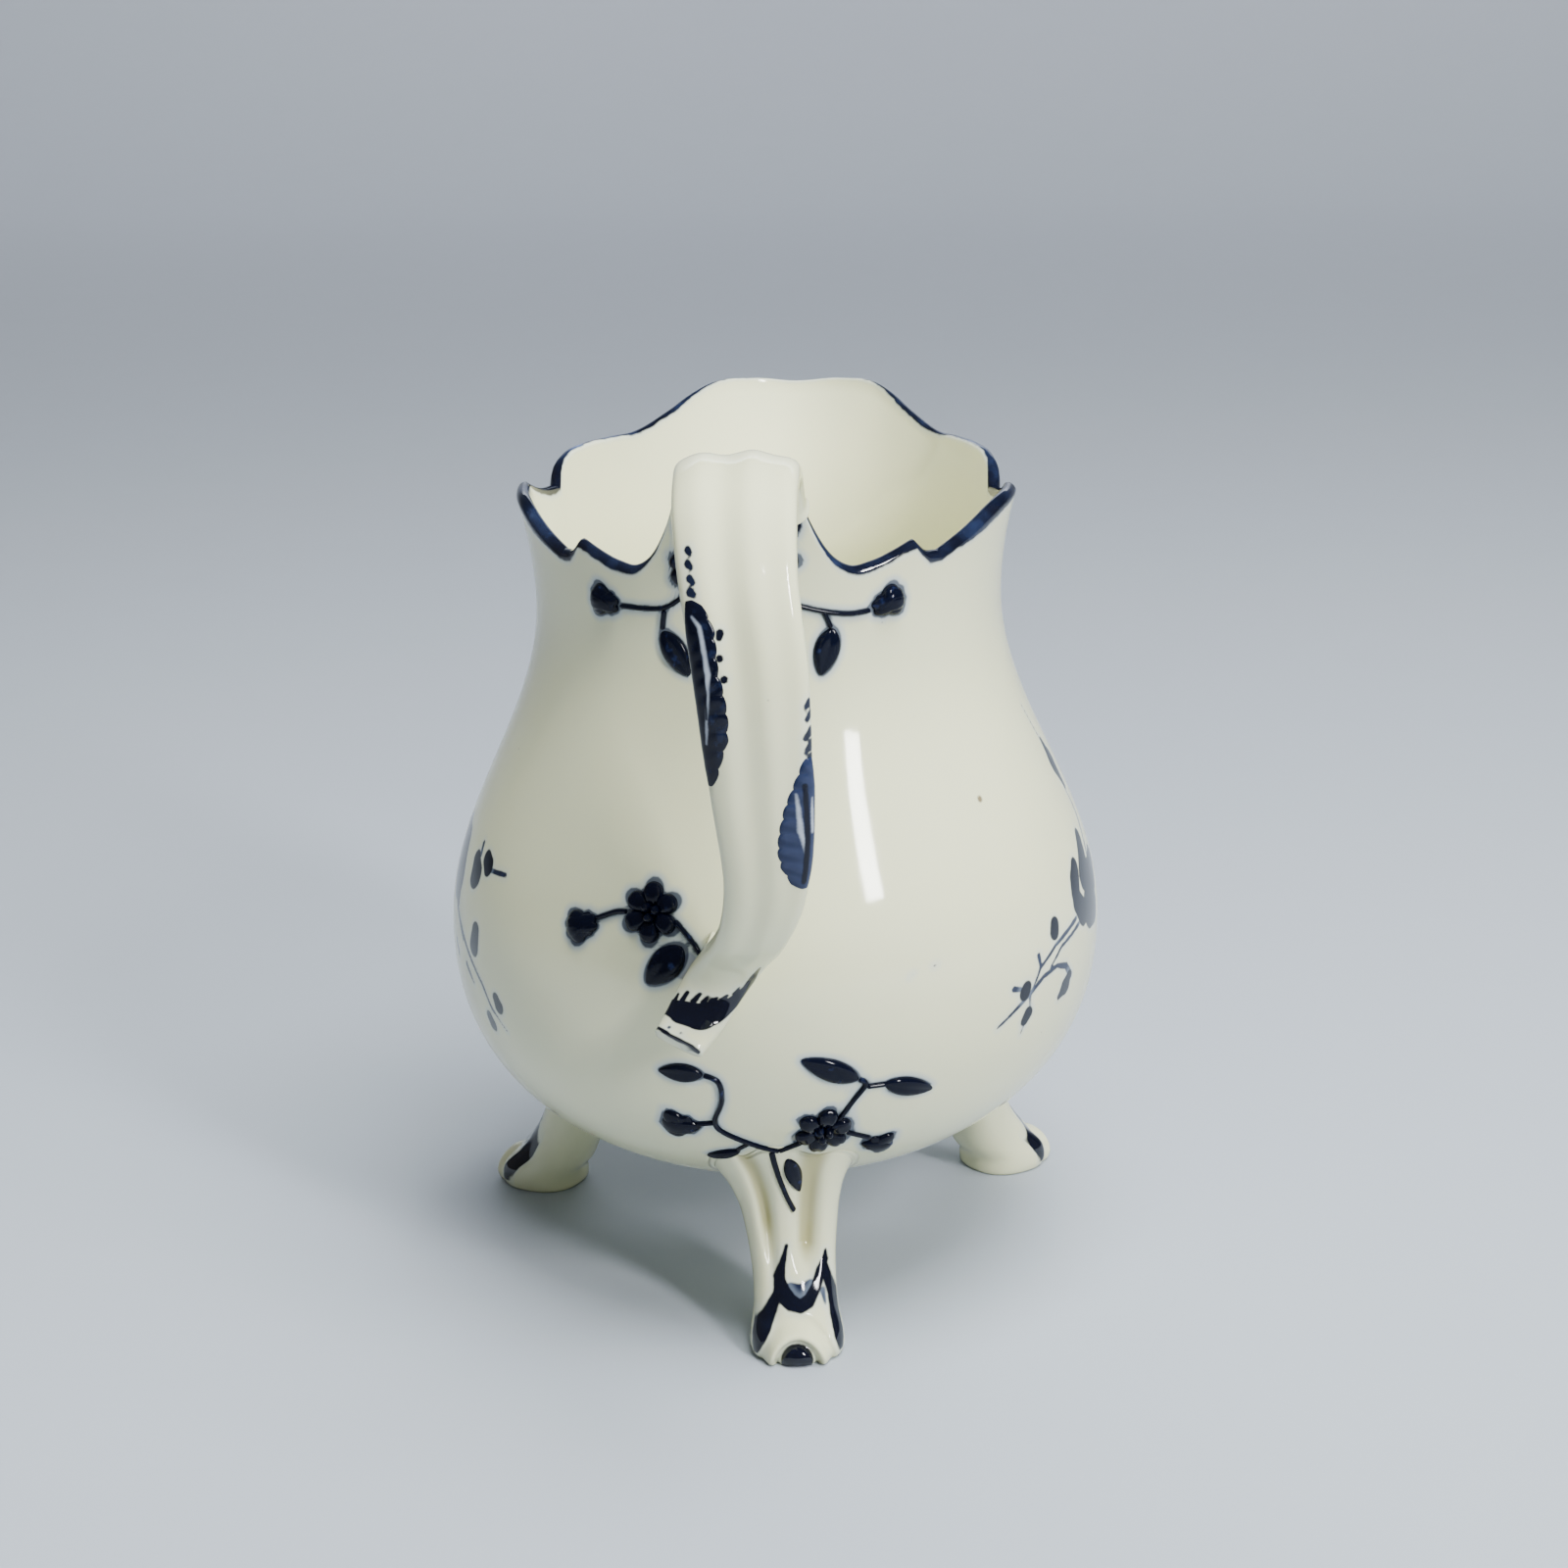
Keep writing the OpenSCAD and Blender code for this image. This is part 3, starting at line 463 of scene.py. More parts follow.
# %% The strap's rings
SIDES = 128
turn = -90 + 360 * np.arange(SIDES) / SIDES
places = np.concatenate([np.linspace(0, 0.5, 12, endpoint=False),
                         np.linspace(0.5, STRAP_END, 300)])
rings = on_strap(places[:, None], turn[None, :])
root = np.exp(-(places / 0.16) ** 2)[:, None, None]
rings = rings + root * 0.4 * unit(rings - strap_mid(places)[:, None])
angle = np.arctan2(rings[..., 0], -rings[..., 1]) / TURN
radius = np.hypot(rings[..., 0], rings[..., 1])
least = body_r(angle, np.minimum(rings[..., 2], rim_z(angle))) + 0.05
swell = np.maximum(least / radius, 1)
rings[..., :2] *= swell[..., None]
last = rings[-1:]
lead = unit(last - rings[-2:-1])
tip = strap_mid(np.array([STRAP_END]))
start = strap_mid(np.zeros(1))[:, None]
seat = seated(start + np.array([0.4, 0.75, 1])[:, None, None] * (rings[:1] - start))
rings = np.concatenate([seat, rings, last + 0.12 * lead + 0.1 * unit(tip - last),
                        last + 0.2 * lead + 0.35 * unit(tip - last),
                        tip + 0.5 * (last - tip) + 0.2 * lead])
closed = np.concatenate([rings, rings[:, :1]], 1)
girth = np.linalg.norm(np.diff(closed, axis=1), axis=-1).cumsum(1)
girth = np.concatenate([np.zeros((len(rings), 1)), girth], 1)
front = SIDES // 2
strap_across_mm = girth[:, front:front + 1] - girth
middle = strap_mid(places)
length = np.concatenate([[0], np.linalg.norm(np.diff(middle, axis=0), axis=-1).cumsum()])
strap_along_mm = np.concatenate([[0, 0, 0], length, length[-1] + np.array([0.1, 0.3, 0.5])])
STRAP_CHART = 200.0
strap_chart = np.stack(np.broadcast_arrays(strap_across_mm, strap_along_mm[:, None]),
                       -1) / STRAP_CHART + 0.5 * np.array([1, 0])

# %% [markdown]
# The paint on the strap: a shell of dark blue laid across the lower end with its feathers
# pointing up, a thin line along the tip, and small dabs in a row before each scroll.

# %% Strokes on the strap, and its mesh
STRAP_FULL = [
    [(-3.1, 95.7, 1.2), (-1.2, 95.7, 1.8), (0.8, 95.2, 2.1), (2.1, 93, 1.5), (3.1, 90.4, 1.2),
     (3.2, 87.5, 0.75), (2.8, 84.5, 0.4), (2.6, 82, 0.12)],
    [(-3.2, 94.8, 0.4), (-3.3, 93.7, 0.25)], [(-2.3, 94.2, 0.4), (-2.3, 92.8, 0.25)],
    [(-1, 93.6, 0.45), (-0.9, 92, 0.25)], [(0.1, 93, 0.45), (0.2, 91.7, 0.25)],
    [(0.9, 92.2, 0.45), (1, 91, 0.2)], [(1.6, 91, 0.4), (1.6, 89.7, 0.2)],
    [(2.3, 89, 0.4), (2.1, 87.6, 0.15)], [(2.7, 87, 0.3), (2.6, 86, 0.1)],
    [(-2.8, 36.2, 0.5), (-3, 36.7, 0.4)], [(-3.3, 39, 0.5)], [(-3.1, 41.5, 0.5)],
    [(-3.4, 98.8, 0.25), (-1, 99.35, 0.3), (3.3, 99.4, 0.25)]]
STRAP_THIN = [
    [(-5.6, 27, 0.45), (-5.3, 27.5, 0.35)], [(-5.7, 28.5, 0.5), (-5.3, 29, 0.35)],
    [(-5.6, 30.1, 0.5), (-5.2, 30.6, 0.35)], [(-5.7, 31.5, 0.55), (-5.2, 31.9, 0.35)],
    [(6.8, 45, 0.5), (6.1, 45.6, 0.3)], [(7, 46.3, 0.5), (6.2, 47, 0.35)],
    [(6.8, 48.3, 0.6), (5.8, 49.1, 0.35)], [(6.8, 49.8, 0.6), (5.8, 50.6, 0.35)],
    [(6.6, 51.4, 0.6), (5.6, 52.2, 0.35)], [(-1.7, 98.4, 0.22)], [(0.1, 98.5, 0.22)]]
strap_full = stroke_gap(strap_across_mm[:, :-1], strap_along_mm[:, None], *STRAP_FULL)
strap_thin = stroke_gap(strap_across_mm[:, :-1], strap_along_mm[:, None], *STRAP_THIN)
strap = make_piece("strap_handle", [loft(rings, seated(strap_mid(np.zeros(1)))[0], tip[0],
                                         strap_chart, full=strap_full, thin=strap_thin)],
                   ["strap_handle"])


def strap_row(t):
    """Ring of the strap nearest to place t."""
    return np.clip(np.searchsorted(places, t), 0, len(places) - 1) + 3


def strap_w(t, x):
    """Section angle at which the strap's own map reads x mm across, at place t."""
    table = strap_across_mm[strap_row(t)]
    i = np.clip((table > x[..., None]).sum(-1), 1, SIDES)
    a = np.take_along_axis(table, (i - 1)[..., None], -1)[..., 0]
    b = np.take_along_axis(table, i[..., None], -1)[..., 0]
    return -90 + 360 / SIDES * (i - 1 + (a - x) / (a - b))


# %% [markdown]
# The pad is the lump of clay that joins the back of the strap to the belly. It fills the gap
# between the two, and its edge was smoothed down onto the belly.

# %% Pad behind the strap
pad_t = np.linspace(9.4, 11.0, 26)
pad_w = np.linspace(318, 222, 22)
top = on_strap(pad_t[:, None], pad_w[None, :], -0.1)
spread = seated(top + (top - top.mean((0, 1))) * 0.16, 0.12)
share = np.linspace(0, 1, 7)
edge = np.concatenate([top[0, :-1], top[:-1, -1], top[-1, :0:-1], top[:0:-1, 0]])
low_edge = np.concatenate([spread[0, :-1], spread[:-1, -1], spread[-1, :0:-1],
                           spread[:0:-1, 0]])
hollow = (share ** 2)[:, None, None]
pad_rings = low_edge * (1 - hollow) + edge * hollow
pad_middle = top[len(pad_t) // 2, len(pad_w) // 2]
pad_low = seated(pad_middle[None], -0.1)[0]
pad_chart = np.zeros((len(pad_rings), pad_rings.shape[1] + 1, 2))
unpainted = np.full(pad_rings.shape[:2], 9.0)
pad = make_piece("handle_pad", [loft(pad_rings, pad_low, pad_middle, pad_chart,
                                     full=unpainted, thin=unpainted)],
                 ["handle_pad"])

# %% [markdown]
# ## Feet
# Each foot is pressed in a mould: a waisted, splayed leg with two flutes down its front and a
# rounded toe with a small arch on it. It is a stack of squared sections from the sole up to
# the belly, where it spreads and is smoothed on. The toe's arch is raised on the front by
# moving points out along the foot's length, ring by ring from the middle of the sole. The
# brush gave it two horns joined by a cup, a stroke down each edge and a black half-round.

# %% Sections of a foot
FOOT_CIRCLE, FOOT_W, FOOT_L, FOOT_SQUARE, FLUTE = 37.3, 12.0, 14.4, 2.4, 1.5
FOOT = np.array([
    (0, 1.9, 0.41, 0.5, 0), (0.05, 2.1, 0.425, 0.515, 0), (0.12, 1.8, 0.41, 0.505, 0),
    (0.22, -0.2, 0.36, 0.465, 0), (0.34, -2, 0.305, 0.455, 0), (0.48, -3.6, 0.275, 0.47, -0.1),
    (0.62, -4.9, 0.29, 0.505, -0.2), (0.76, -5.3, 0.3, 0.55, -0.4), (0.88, -5.4, 0.33, 0.62, -0.7),
    (1, -5.4, 0.38, 0.71, -1)])


def foot_value(s, column):
    """One column of the foot's table at height share s."""
    return smooth_curve(FOOT[:, [0, column]], s)


def bell(x, middle, width):
    """A smooth bump of height 1."""
    return np.exp(-((x - middle) / width) ** 2)


def flutes(s, y):
    """How far the two flutes are pressed in, 0 to 1, at height share s and at y across the
    front from -1 to 1: a narrow one on the left and a wide one on the right, both leaning
    in towards the toe and fading there."""
    left = bell(y, -0.5 - 0.06 * s, 0.1 + 0.07 * s) * np.clip((s - 0.34) / 0.3, 0, 1)
    right = bell(y, 0.24 + 0.3 * (s - 0.4), 0.17 + 0.1 * s) * np.clip((s - 0.36) / 0.16, 0, 1)
    return left + right


def foot_section(s, w, scale=1.0):
    """Point of the section at height share s and angle w in degrees, 0 facing out from the
    jug: along the foot's radius and across it. Two flutes are pressed into the front."""
    c, d = np.cos(w * TURN), np.sin(w * TURN)
    y = np.sign(d) * np.abs(d) ** (2 / FOOT_SQUARE)
    x = np.sign(c) * np.abs(c) ** (2 / FOOT_SQUARE)
    pressed = FLUTE * flutes(s, y) * np.clip(c * 4, 0, 1)
    return (FOOT_CIRCLE + foot_value(s, 1) + scale * (x * foot_value(s, 2) * FOOT_L - pressed),
            foot_value(s, 4) + scale * y * foot_value(s, 3) * FOOT_W)


def foot_points(s, w, out=0.0):
    """Point of the foot's side, before the foot is turned to its place."""
    x, y = foot_section(s, w)
    top_x, top_y = foot_section(np.ones_like(s), w)
    z = s * (under_z(np.hypot(top_x, top_y)) - 0.05)
    front = np.clip(np.cos(w * TURN) * 3, 0, 1)
    ring = np.hypot(y + 0.3, z * 0.86)
    arch = (0.75 * bell(ring, 3.6, 0.55) - 0.7 * bell(ring, 2.6, 0.4)
            + 0.4 * bell(ring, 0.8, 1.0) - 0.45 * bell(ring, 4.6, 0.45))
    side = np.sign(np.sin(w * TURN)) * np.abs(np.sin(w * TURN)) ** (2 / FOOT_SQUARE)
    x = x + front * arch * (ring < 7) + out
    return np.stack(np.broadcast_arrays(x, y, z), -1), side


def turn_foot(p, turn):
    """A point turned about the axis to the foot's angle from the handle."""
    a = (turn - 90) * TURN
    c, s = np.cos(a), np.sin(a)
    return np.stack([p[..., 0] * c - p[..., 1] * s, p[..., 0] * s + p[..., 1] * c,
                     p[..., 2]], -1)


FOOT_FULL = [
    [(-1.1, 13.5, 0.25), (-1.7, 11.5, 0.45), (-2.2, 9.6, 0.8), (-1.9, 8.1, 1.2),
     (-0.9, 7.2, 0.95), (0.4, 6.7, 0.75), (1.6, 7.2, 0.85), (2.6, 8.5, 0.7), (3.3, 10.2, 0.7),
     (3.9, 11.3, 0.5), (4, 12.4, 0.2)],
    [(-2.6, 7.8, 0.6), (-3.6, 6, 0.8), (-4.6, 4.4, 1.0), (-5.3, 3, 0.9), (-5.6, 1.2, 0.3)],
    [(3.7, 10.6, 0.6), (4.6, 7.8, 0.65), (5.1, 5.4, 0.9), (5.4, 3.2, 0.8), (5.5, 1.4, 0.35)],
    [(-0.35, 0.9, 2.1)]]
FOOT_THIN = [
    [(-0.8, 8.7, 0.6), (0.5, 8.2, 0.9), (1.8, 8.8, 0.6)], [(3.4, 8, 0.4), (3.7, 6.6, 0.15)]]


def make_foot(name, turn):
    """Rings up the side of a foot, a skirt smoothed onto the belly, and a cap inside it."""
    w = np.linspace(-180, 180, 168, endpoint=False)[None, :]
    s = np.concatenate([[0, 0.006, 0.02], np.linspace(0.04, 1, 130)])[:, None]
    points, side = foot_points(s + 0 * w, w + 0 * s)
    inset = np.array([0.5, 0.16, 0.0])[:, None, None]
    hub = np.array([FOOT_CIRCLE + 1.9, 0, 0])
    points[:3, :, :2] -= inset * unit(points[:3] - hub)[..., :2]
    skirt = []
    for grow, lift in ((1.03, -0.02), (1.09, -0.06), (1.16, -0.08), (0.9, 1.0), (0.5, 1.0)):
        x, y = foot_section(np.ones_like(w), w, grow)
        skirt.append(np.stack(np.broadcast_arrays(x, y, under_z(np.hypot(x, y)) + lift), -1))
    blend = np.clip((s - 0.86) / 0.14, 0, 1)[..., None] ** 2
    wide = points - np.array([FOOT_CIRCLE - 5.4, 0, 0])
    points[..., :2] += (blend * 0.06 * wide)[..., :2]
    rings = np.concatenate([points, *skirt])
    rings[..., 2] = np.minimum(rings[..., 2], np.where(
        np.arange(len(rings))[:, None] < len(s),
        under_z(np.hypot(rings[..., 0], rings[..., 1])) - 0.02, 99))
    low, high = hub, np.array([FOOT_CIRCLE - 5.4, 0, float(under_z(FOOT_CIRCLE - 5.4)) + 1])
    chart = np.stack([rings[..., 1], rings[..., 2]], -1) / 40 + 0.5
    chart = np.concatenate([chart, chart[:, :1]], 1)
    hidden = np.clip(0.25 - np.cos(w * TURN), 0, 1) * 9
    across, up = rings[..., 1], rings[..., 2]
    share = np.concatenate([s, np.ones((len(skirt), 1))])
    front = np.clip(np.cos(w * TURN) * 2.2 + 0.2, 0, 1)
    # The flute mark darkens the flutes in the finish: painted shade, with the tint of pooled
    # glaze.
    marks = dict(full=stroke_gap(across, up, *FOOT_FULL) + hidden,
                 thin=stroke_gap(across, up, *FOOT_THIN) + hidden,
                 flute=flutes(share, side[:1]) * front)
    return make_piece(name, [loft(turn_foot(rings, turn), turn_foot(low, turn),
                                  turn_foot(high, turn), chart, **marks)],
                      [name])


FEET = {"front": FOOT_TURN, "left": FOOT_TURN - 120, "right": FOOT_TURN + 120}
feet = [make_foot("foot_" + place, turn) for place, turn in FEET.items()]

# %% [markdown]
# ## Sprigs
# A sprig is clay too: a thread rolled between finger and table for a stem, a pinch pressed
# flat for a leaf, a few pinches round an eye for a flower. All of them are laid on the skin
# with a flat back and a round face, so they are all one shape: a half-round ridge along a
# line, with its own width and height at each place. A mark carries the height, because the
# cobalt is nearly black on the high places and thins to blue along the edges.

# %% A ridge of clay laid on a surface
def laid(surface, line, half, rise, crease=0.0, sides=14):
    """A closed ridge along a line of (u, v) places on a surface. half and rise are arrays in
    mm along it. The face is half an oval with a crease pressed along its middle, the back
    lies flat just under the surface."""
    line, half, rise = np.asarray(line, float), np.asarray(half), np.asarray(rise)
    here = surface(line[:, 0], line[:, 1], 0.0, 0.0, 0.0)
    along = np.gradient(here, axis=0)
    right = surface(line[:, 0], line[:, 1], 0.1, 0.0, 0.0) - here
    up = surface(line[:, 0], line[:, 1], 0.0, 0.1, 0.0) - here
    way = unit(np.stack([(along * unit(right)).sum(-1), (along * unit(up)).sum(-1)], -1))
    phi = 2 * np.pi * np.arange(sides) / sides
    c, s = np.cos(phi)[None, :], np.sin(phi)[None, :]
    wide = c * half[:, None]
    high = np.where(s > 0, np.abs(s) ** 0.8 * rise[:, None]
                    * (1 - crease * bell(c, 0, 0.3)), -0.08 + 0 * wide)
    u, v = line[:, :1] + 0 * wide, line[:, 1:] + 0 * wide
    rings = surface(u, v, -way[:, 1:] * wide, way[:, :1] * wide, high)
    chart = np.stack(np.broadcast_arrays(
        np.append(c, 1)[None, :] / 2 + 0.5, np.linspace(0, 1, len(line))[:, None]), -1)
    stains.append((here, half))
    return loft(rings, rings[0].mean(0), rings[-1].mean(0), chart,
                height=np.maximum(high, 0) * np.ones_like(wide))


stains = []


def on_foot(turn):
    """The front of a foot as a surface: u is across from -1 to 1, v the height share."""
    def surface(u, v, right, up, out):
        u = u + right / (FOOT_W / 2)
        v = v + up / 20
        w = np.arcsin(np.clip(np.sign(u) * np.abs(u) ** (FOOT_SQUARE / 2), -1, 1)) / TURN
        p, _ = foot_points(v, w)
        return turn_foot(p + np.asarray(out)[..., None] * np.array([1.0, 0, 0]), turn)
    return surface


def stem(places, r=0.34, surface=beside):
    """A rolled thread of clay through places, a little thinner at its ends."""
    t = np.linspace(0, len(places) - 1, 10 * (len(places) - 1) + 1)
    line = smooth_path(places, t)
    ends = np.minimum(1, np.minimum(t, t[::-1]) * 6 + 0.55)
    return laid(surface, line, r * ends, 1.5 * r * ends, sides=12)


def leaf(start, end, width, height=0.85, bend=0.0, surface=beside):
    """A pressed leaf from its stalk to its point, with a spine pressed along it."""
    s = (1 - np.cos(np.linspace(0, np.pi, 27))) / 2
    line = np.array(start) + s[:, None] * (np.array(end) - np.array(start))
    line = line + bend * np.sin(np.pi * s)[:, None] * np.array([1.0, 0.0])
    body = np.sin(np.pi * np.clip(s, 0, 1) ** 0.85)
    half = width / 2 * (0.06 + 0.94 * np.clip(body, 0, 1) ** 0.75)
    return laid(surface, line, half, height * (0.2 + 0.8 * np.clip(body, 0, 1) ** 0.6),
                crease=0.28, sides=22)


def petal(centre, way, start, reach, width, height, crease=0.25):
    """A petal from near the middle of a flower outwards in one direction, in degrees."""
    s = (1 - np.cos(np.linspace(0, np.pi, 13))) / 2
    far = start + (reach - start) * s
    c, d = np.cos(way * TURN), np.sin(way * TURN)
    radius = body_r(*centre)
    line = np.stack([centre[0] + far * c / radius / TURN, centre[1] + far * d], -1)
    plump = np.sqrt(np.clip(1 - (2 * s - 1) ** 2, 0, 1))
    plump = plump * (0.8 + 0.35 * s)
    return laid(beside, line, width / 2 * np.maximum(plump, 0.05),
                height * np.maximum(plump, 0.1), crease=crease, sides=16)


def flower(centre, r, count, turn, height=1.45):
    """Petals in a round and a raised eye of small pinches in the middle."""
    ways = turn + 360 * np.arange(count) / count
    width = 2 * np.pi * r * 0.62 / count * 1.12
    ring = [petal(centre, w, 0.18 * r, r, width, height * 0.78) for w in ways]
    eye = [petal(centre, w + 20, 0.0, 0.36 * r, 0.4 * r, height * 1.05, 0.0)
           for w in (0, 120, 240)]
    return ring + eye


def bud(centre, r, way, height=1.2, lobes=3):
    """A closed bud: long lobes side by side that open away from the stalk."""
    spread = np.linspace(-48, 48, lobes)
    hull = [petal(centre, way + a, -0.95 * r + 0.25 * r * abs(a) / 48, 0.95 * r, r * 1.05,
                  height * (1 - abs(a) / 220), 0.12) for a in spread]
    return hull


# %% [markdown]
# ### Sprays over the feet
# The same spray was pressed over each foot. From the top of the foot one stem swings left
# and up, one goes up to the flower, and others leave the flower for two leaves and a bud. A
# small leaf and the stem's tail run down on the foot itself.

# %% Foot sprays
LEVELS = [BOTTOM_Z, BELLY_Z, NECK_Z, MOUTH_Z]


def place(angle, level):
    """Angle, and height from a level: 0 underside, 1 belly, 2 neck, 3 side of the rim."""
    return angle, float(np.interp(level, [0, 1, 2, 3], LEVELS))


def foot_spray(side, turn):
    """The five pieces of the spray over the foot at one angle."""
    def at(*spots):
        return [place(turn + a, b) for a, b in spots]
    stems = [stem(at((-2.7, 0.395), (-8, 0.44), (-14, 0.53), (-12.4, 0.65), (-12.6, 0.74),
                     (-15, 0.77))),
             stem(at((-14.2, 0.55), (-17.6, 0.537))), stem(at((-2.8, 0.395), (1.6, 0.445))),
             stem(at((7.9, 0.55), (10.2, 0.64), (12.2, 0.71), (11, 0.735))),
             stem(at((12.4, 0.7), (15.9, 0.7))), stem(at((9.8, 0.485), (15, 0.435))),
             stem(at((-8.5, 0.44), (-11, 0.4)), 0.28)]
    leaves = [leaf(*at((-15.2, 0.772), (-22.8, 0.775)), 2.7),
              leaf(*at((-10.4, 0.395), (-17.8, 0.35)), 1.6),
              leaf(*at((10.8, 0.738), (1.2, 0.835)), 3.2),
              leaf(*at((15.6, 0.7), (25, 0.64)), 2.9)]
    bloom = flower(place(turn + 5.4, 0.5), 3.7, 6, 20)
    left, right = place(turn - 20.6, 0.525), place(turn + 17.2, 0.39)
    buds = bud(left, 2.8, 178) + bud(right, 2.4, -8)
    front = on_foot(turn)
    tail = [leaf((0.02, 0.96), (0.2, 0.78), 2.2, surface=front),
            stem([(-0.21, 1), (-0.2, 0.92), (-0.16, 0.83), (-0.07, 0.74), (0.06, 0.67)], 0.34,
                 surface=front)]
    parts = dict(stems=stems, leaves=leaves, flower=bloom, buds=buds, tail=tail)
    return [make_piece(f"{side}_spray_{part}", lofts, [f"{side}_spray_{part}"])
            for part, lofts in parts.items()]


sprigs = [piece for side, turn in FEET.items() for piece in foot_spray(side, turn)]

# %% [markdown]
# ### Sprays beside the handle
# Two small sprays grow out from under the top of the handle, and a third from its lower end.

# %% Handle sprays
def spray(name, **parts):
    """One object for each kind of piece in a spray."""
    return [make_piece(f"{name}_{part}", lofts, [f"{name}_{part}"])
            for part, lofts in parts.items()]


sprigs += spray(
    "upper_left",
    stems=[stem([place(-9.5, 2.45), place(-15, 2.39), place(-21, 2.27), place(-32.2, 2.25)]),
           stem([place(-20.3, 2.25), place(-21, 2.08)])],
    leaf=[leaf(place(-21, 2.06), place(-14.4, 1.9), 3.4)],
    buds=bud(place(-36.8, 2.27), 2.6, 170, 1.5, 4) + bud(place(-13.8, 2.97), 1.5, 90, 0.9),
    flower=flower(place(-13.4, 2.64), 2.7, 5, 0))
sprigs += spray(
    "upper_right",
    stems=[stem([place(9, 2.34), place(16, 2.26), place(23, 2.21), place(28.3, 2.22)]),
           stem([place(17, 2.25), place(18.8, 2.1)])],
    leaf=[leaf(place(19.2, 2.09), place(16, 1.9), 3.4)],
    buds=bud(place(32.8, 2.27), 2.6, 20, 1.5, 4) + bud(place(9.6, 3.04), 1.5, 90, 0.9),
    flower=flower(place(6.5, 2.72), 2.7, 5, 0))
sprigs += spray(
    "handle_spray",
    stems=[stem([place(-27.6, 1.245), place(-24, 1.27), place(-21.8, 1.275)]),
           stem([place(-12.8, 1.265), place(-9.4, 1.21), place(-7.8, 1.17)])],
    leaf=[leaf(place(-11.2, 1.195), place(-17.2, 1.09), 4.2)],
    bud=bud(place(-30.2, 1.22), 2.6, 200, 1.4, 4),
    flower=flower(place(-17.2, 1.28), 3.7, 6, 30))

# %% [markdown]
# ### Scrolls on the flanks of the strap
# Each flank carries a pressed scroll, feathered on the side towards the front. Both of its
# outlines are drawn on the strap's own map, down along it and across it in millimetres, and
# the front one gets a small round plume again and again. The left one is nearly black with a
# pale slit. The right one faces the lamps and is painted a lighter blue as painted light, with
# its plumes painted lighter on the ridges and darker in the grooves as painted light and
# shade. Each carries a mark for this and its own strokes.

# %% Scrolls
def scroll(name, side, front, flank, plumes, pale, dark):
    """A low ridge on one flank of the strap, between two outlines of (along, across) places.
    side is 1 on the right. pale and dark are strokes in the same millimetres."""
    s = np.linspace(front[0][0], front[-1][0], 230)
    t = np.interp(s, length, places)
    part = (s - s[0]) / (s[-1] - s[0])
    plume = np.abs(np.sin(np.pi * plumes * part)) ** 0.6
    inner = np.interp(s, *np.array(front).T) - side * 0.3 * plume
    outer = np.interp(s, *np.array(flank).T)
    share = np.linspace(0, 1, 29)[None, :]
    x = outer[:, None] + (inner - outer)[:, None] * share
    w = strap_w(t[:, None] + 0 * x, x)
    full = np.sin(np.pi * np.clip(part, 0, 1)) ** 0.5
    groove = 0.5 + 0.5 * np.cos(2 * np.pi * (plumes * part[:, None] + 0.5 + share))
    rise = (0.5 * np.sin(np.pi * (share * 0.94 + 0.06)) ** 0.5 * (0.3 + 0.7 * full[:, None])
            * (1 - 0.18 * groove * share))
    face = on_strap(t[:, None] + 0 * w, w, rise)
    rear = on_strap(t[:, None] + 0 * w, w, -0.08)
    across = x + 0 * w
    along = s[:, None] + 0 * w
    # The groove mark sets the painted light and shade of the plumes, and the last mark, 1 on the
    # right, paints the whole right scroll lighter as painted light.
    marks = dict(height=(rise, 0 * rise), groove=(groove * share, 0 * groove),
                 pale=(stroke_gap(across, along, *pale),) * 2,
                 dark=(stroke_gap(across, along, *dark),) * 2,
                 painted_lit_side=(np.full(w.shape, (side + 1) / 2),) * 2)
    order = slice(None, None, -1) if side < 0 else slice(None)
    other = slice(None) if side < 0 else slice(None, None, -1)
    rings = np.concatenate([face[:, order], rear[:, other]], 1)
    marks = {k: np.concatenate([a[:, order], b[:, other]], 1) for k, (a, b) in marks.items()}
    chart = np.stack([across, along], -1) / STRAP_CHART + 0.5 * np.array([1, 0])
    chart = np.concatenate([chart[:, order], chart[:, other], chart[:, order][:, :1]], 1)
    return make_piece(name, [loft(rings, rings[0].mean(0), rings[-1].mean(0), chart, **marks)],
                      [name])


scrolls = [
    scroll("handle_scroll_left", -1,
           [(32.3, -5.6), (33, -4.7), (34.2, -4), (36.1, -3.6), (38.4, -3.8), (40.7, -3.9),
            (43.2, -3.5), (46, -3.3), (48.7, -3.5), (51.3, -4.5), (52.8, -5), (54.3, -5.8)],
           [(32.3, -6.4), (36, -7.3), (43, -7.7), (49, -7.4), (54.3, -6.4)], 10,
           [[(-5.6, 34, 0.05), (-4.8, 35.2, 0.15), (-4.7, 40.7, 0.2), (-5.6, 49, 0)]],
           [[(-5.4, 36, 0.15), (-5.2, 43, 0.2), (-5.3, 46, 0.1)]]),
    scroll("handle_scroll_right", 1,
           [(51.4, 5.7), (53, 4.9), (55.1, 3.9), (57, 3), (60, 2.1), (62.2, 1.8), (64.2, 2.1),
            (65.5, 2.8), (66.4, 3.4), (67, 4.3)],
           [(51.4, 6.6), (55, 7.1), (60, 6.8), (64, 6.2), (67, 5.2)], 9,
           [[(4.1, 55.4, 0.05), (4.2, 59.9, 0.25), (4.7, 62.8, 0.1)],
            [(5.8, 56.1, 0.05), (5.6, 60.2, 0.15)]],
           [[(5.1, 54.5, 0.25), (4.9, 60.7, 0.3), (4.4, 66, 0.3)]])]

# %% [markdown]
# ### Painted sprays
# The sides of the belly carry painted sprays, level with the pressed ones: a flower, its
# leaves, thin stalks and single dabs. They are laid out by angle and height. A brown patch
# beside the leaf at the handle's lower end and two specks are kept the same way.

# %% Strokes on the belly
ARC = BELLY_R * TURN


def arc(*spots):
    """A stroke given by angle and height, in mm along the belly."""
    return [(a * ARC, z, r) for a, z, r in spots]


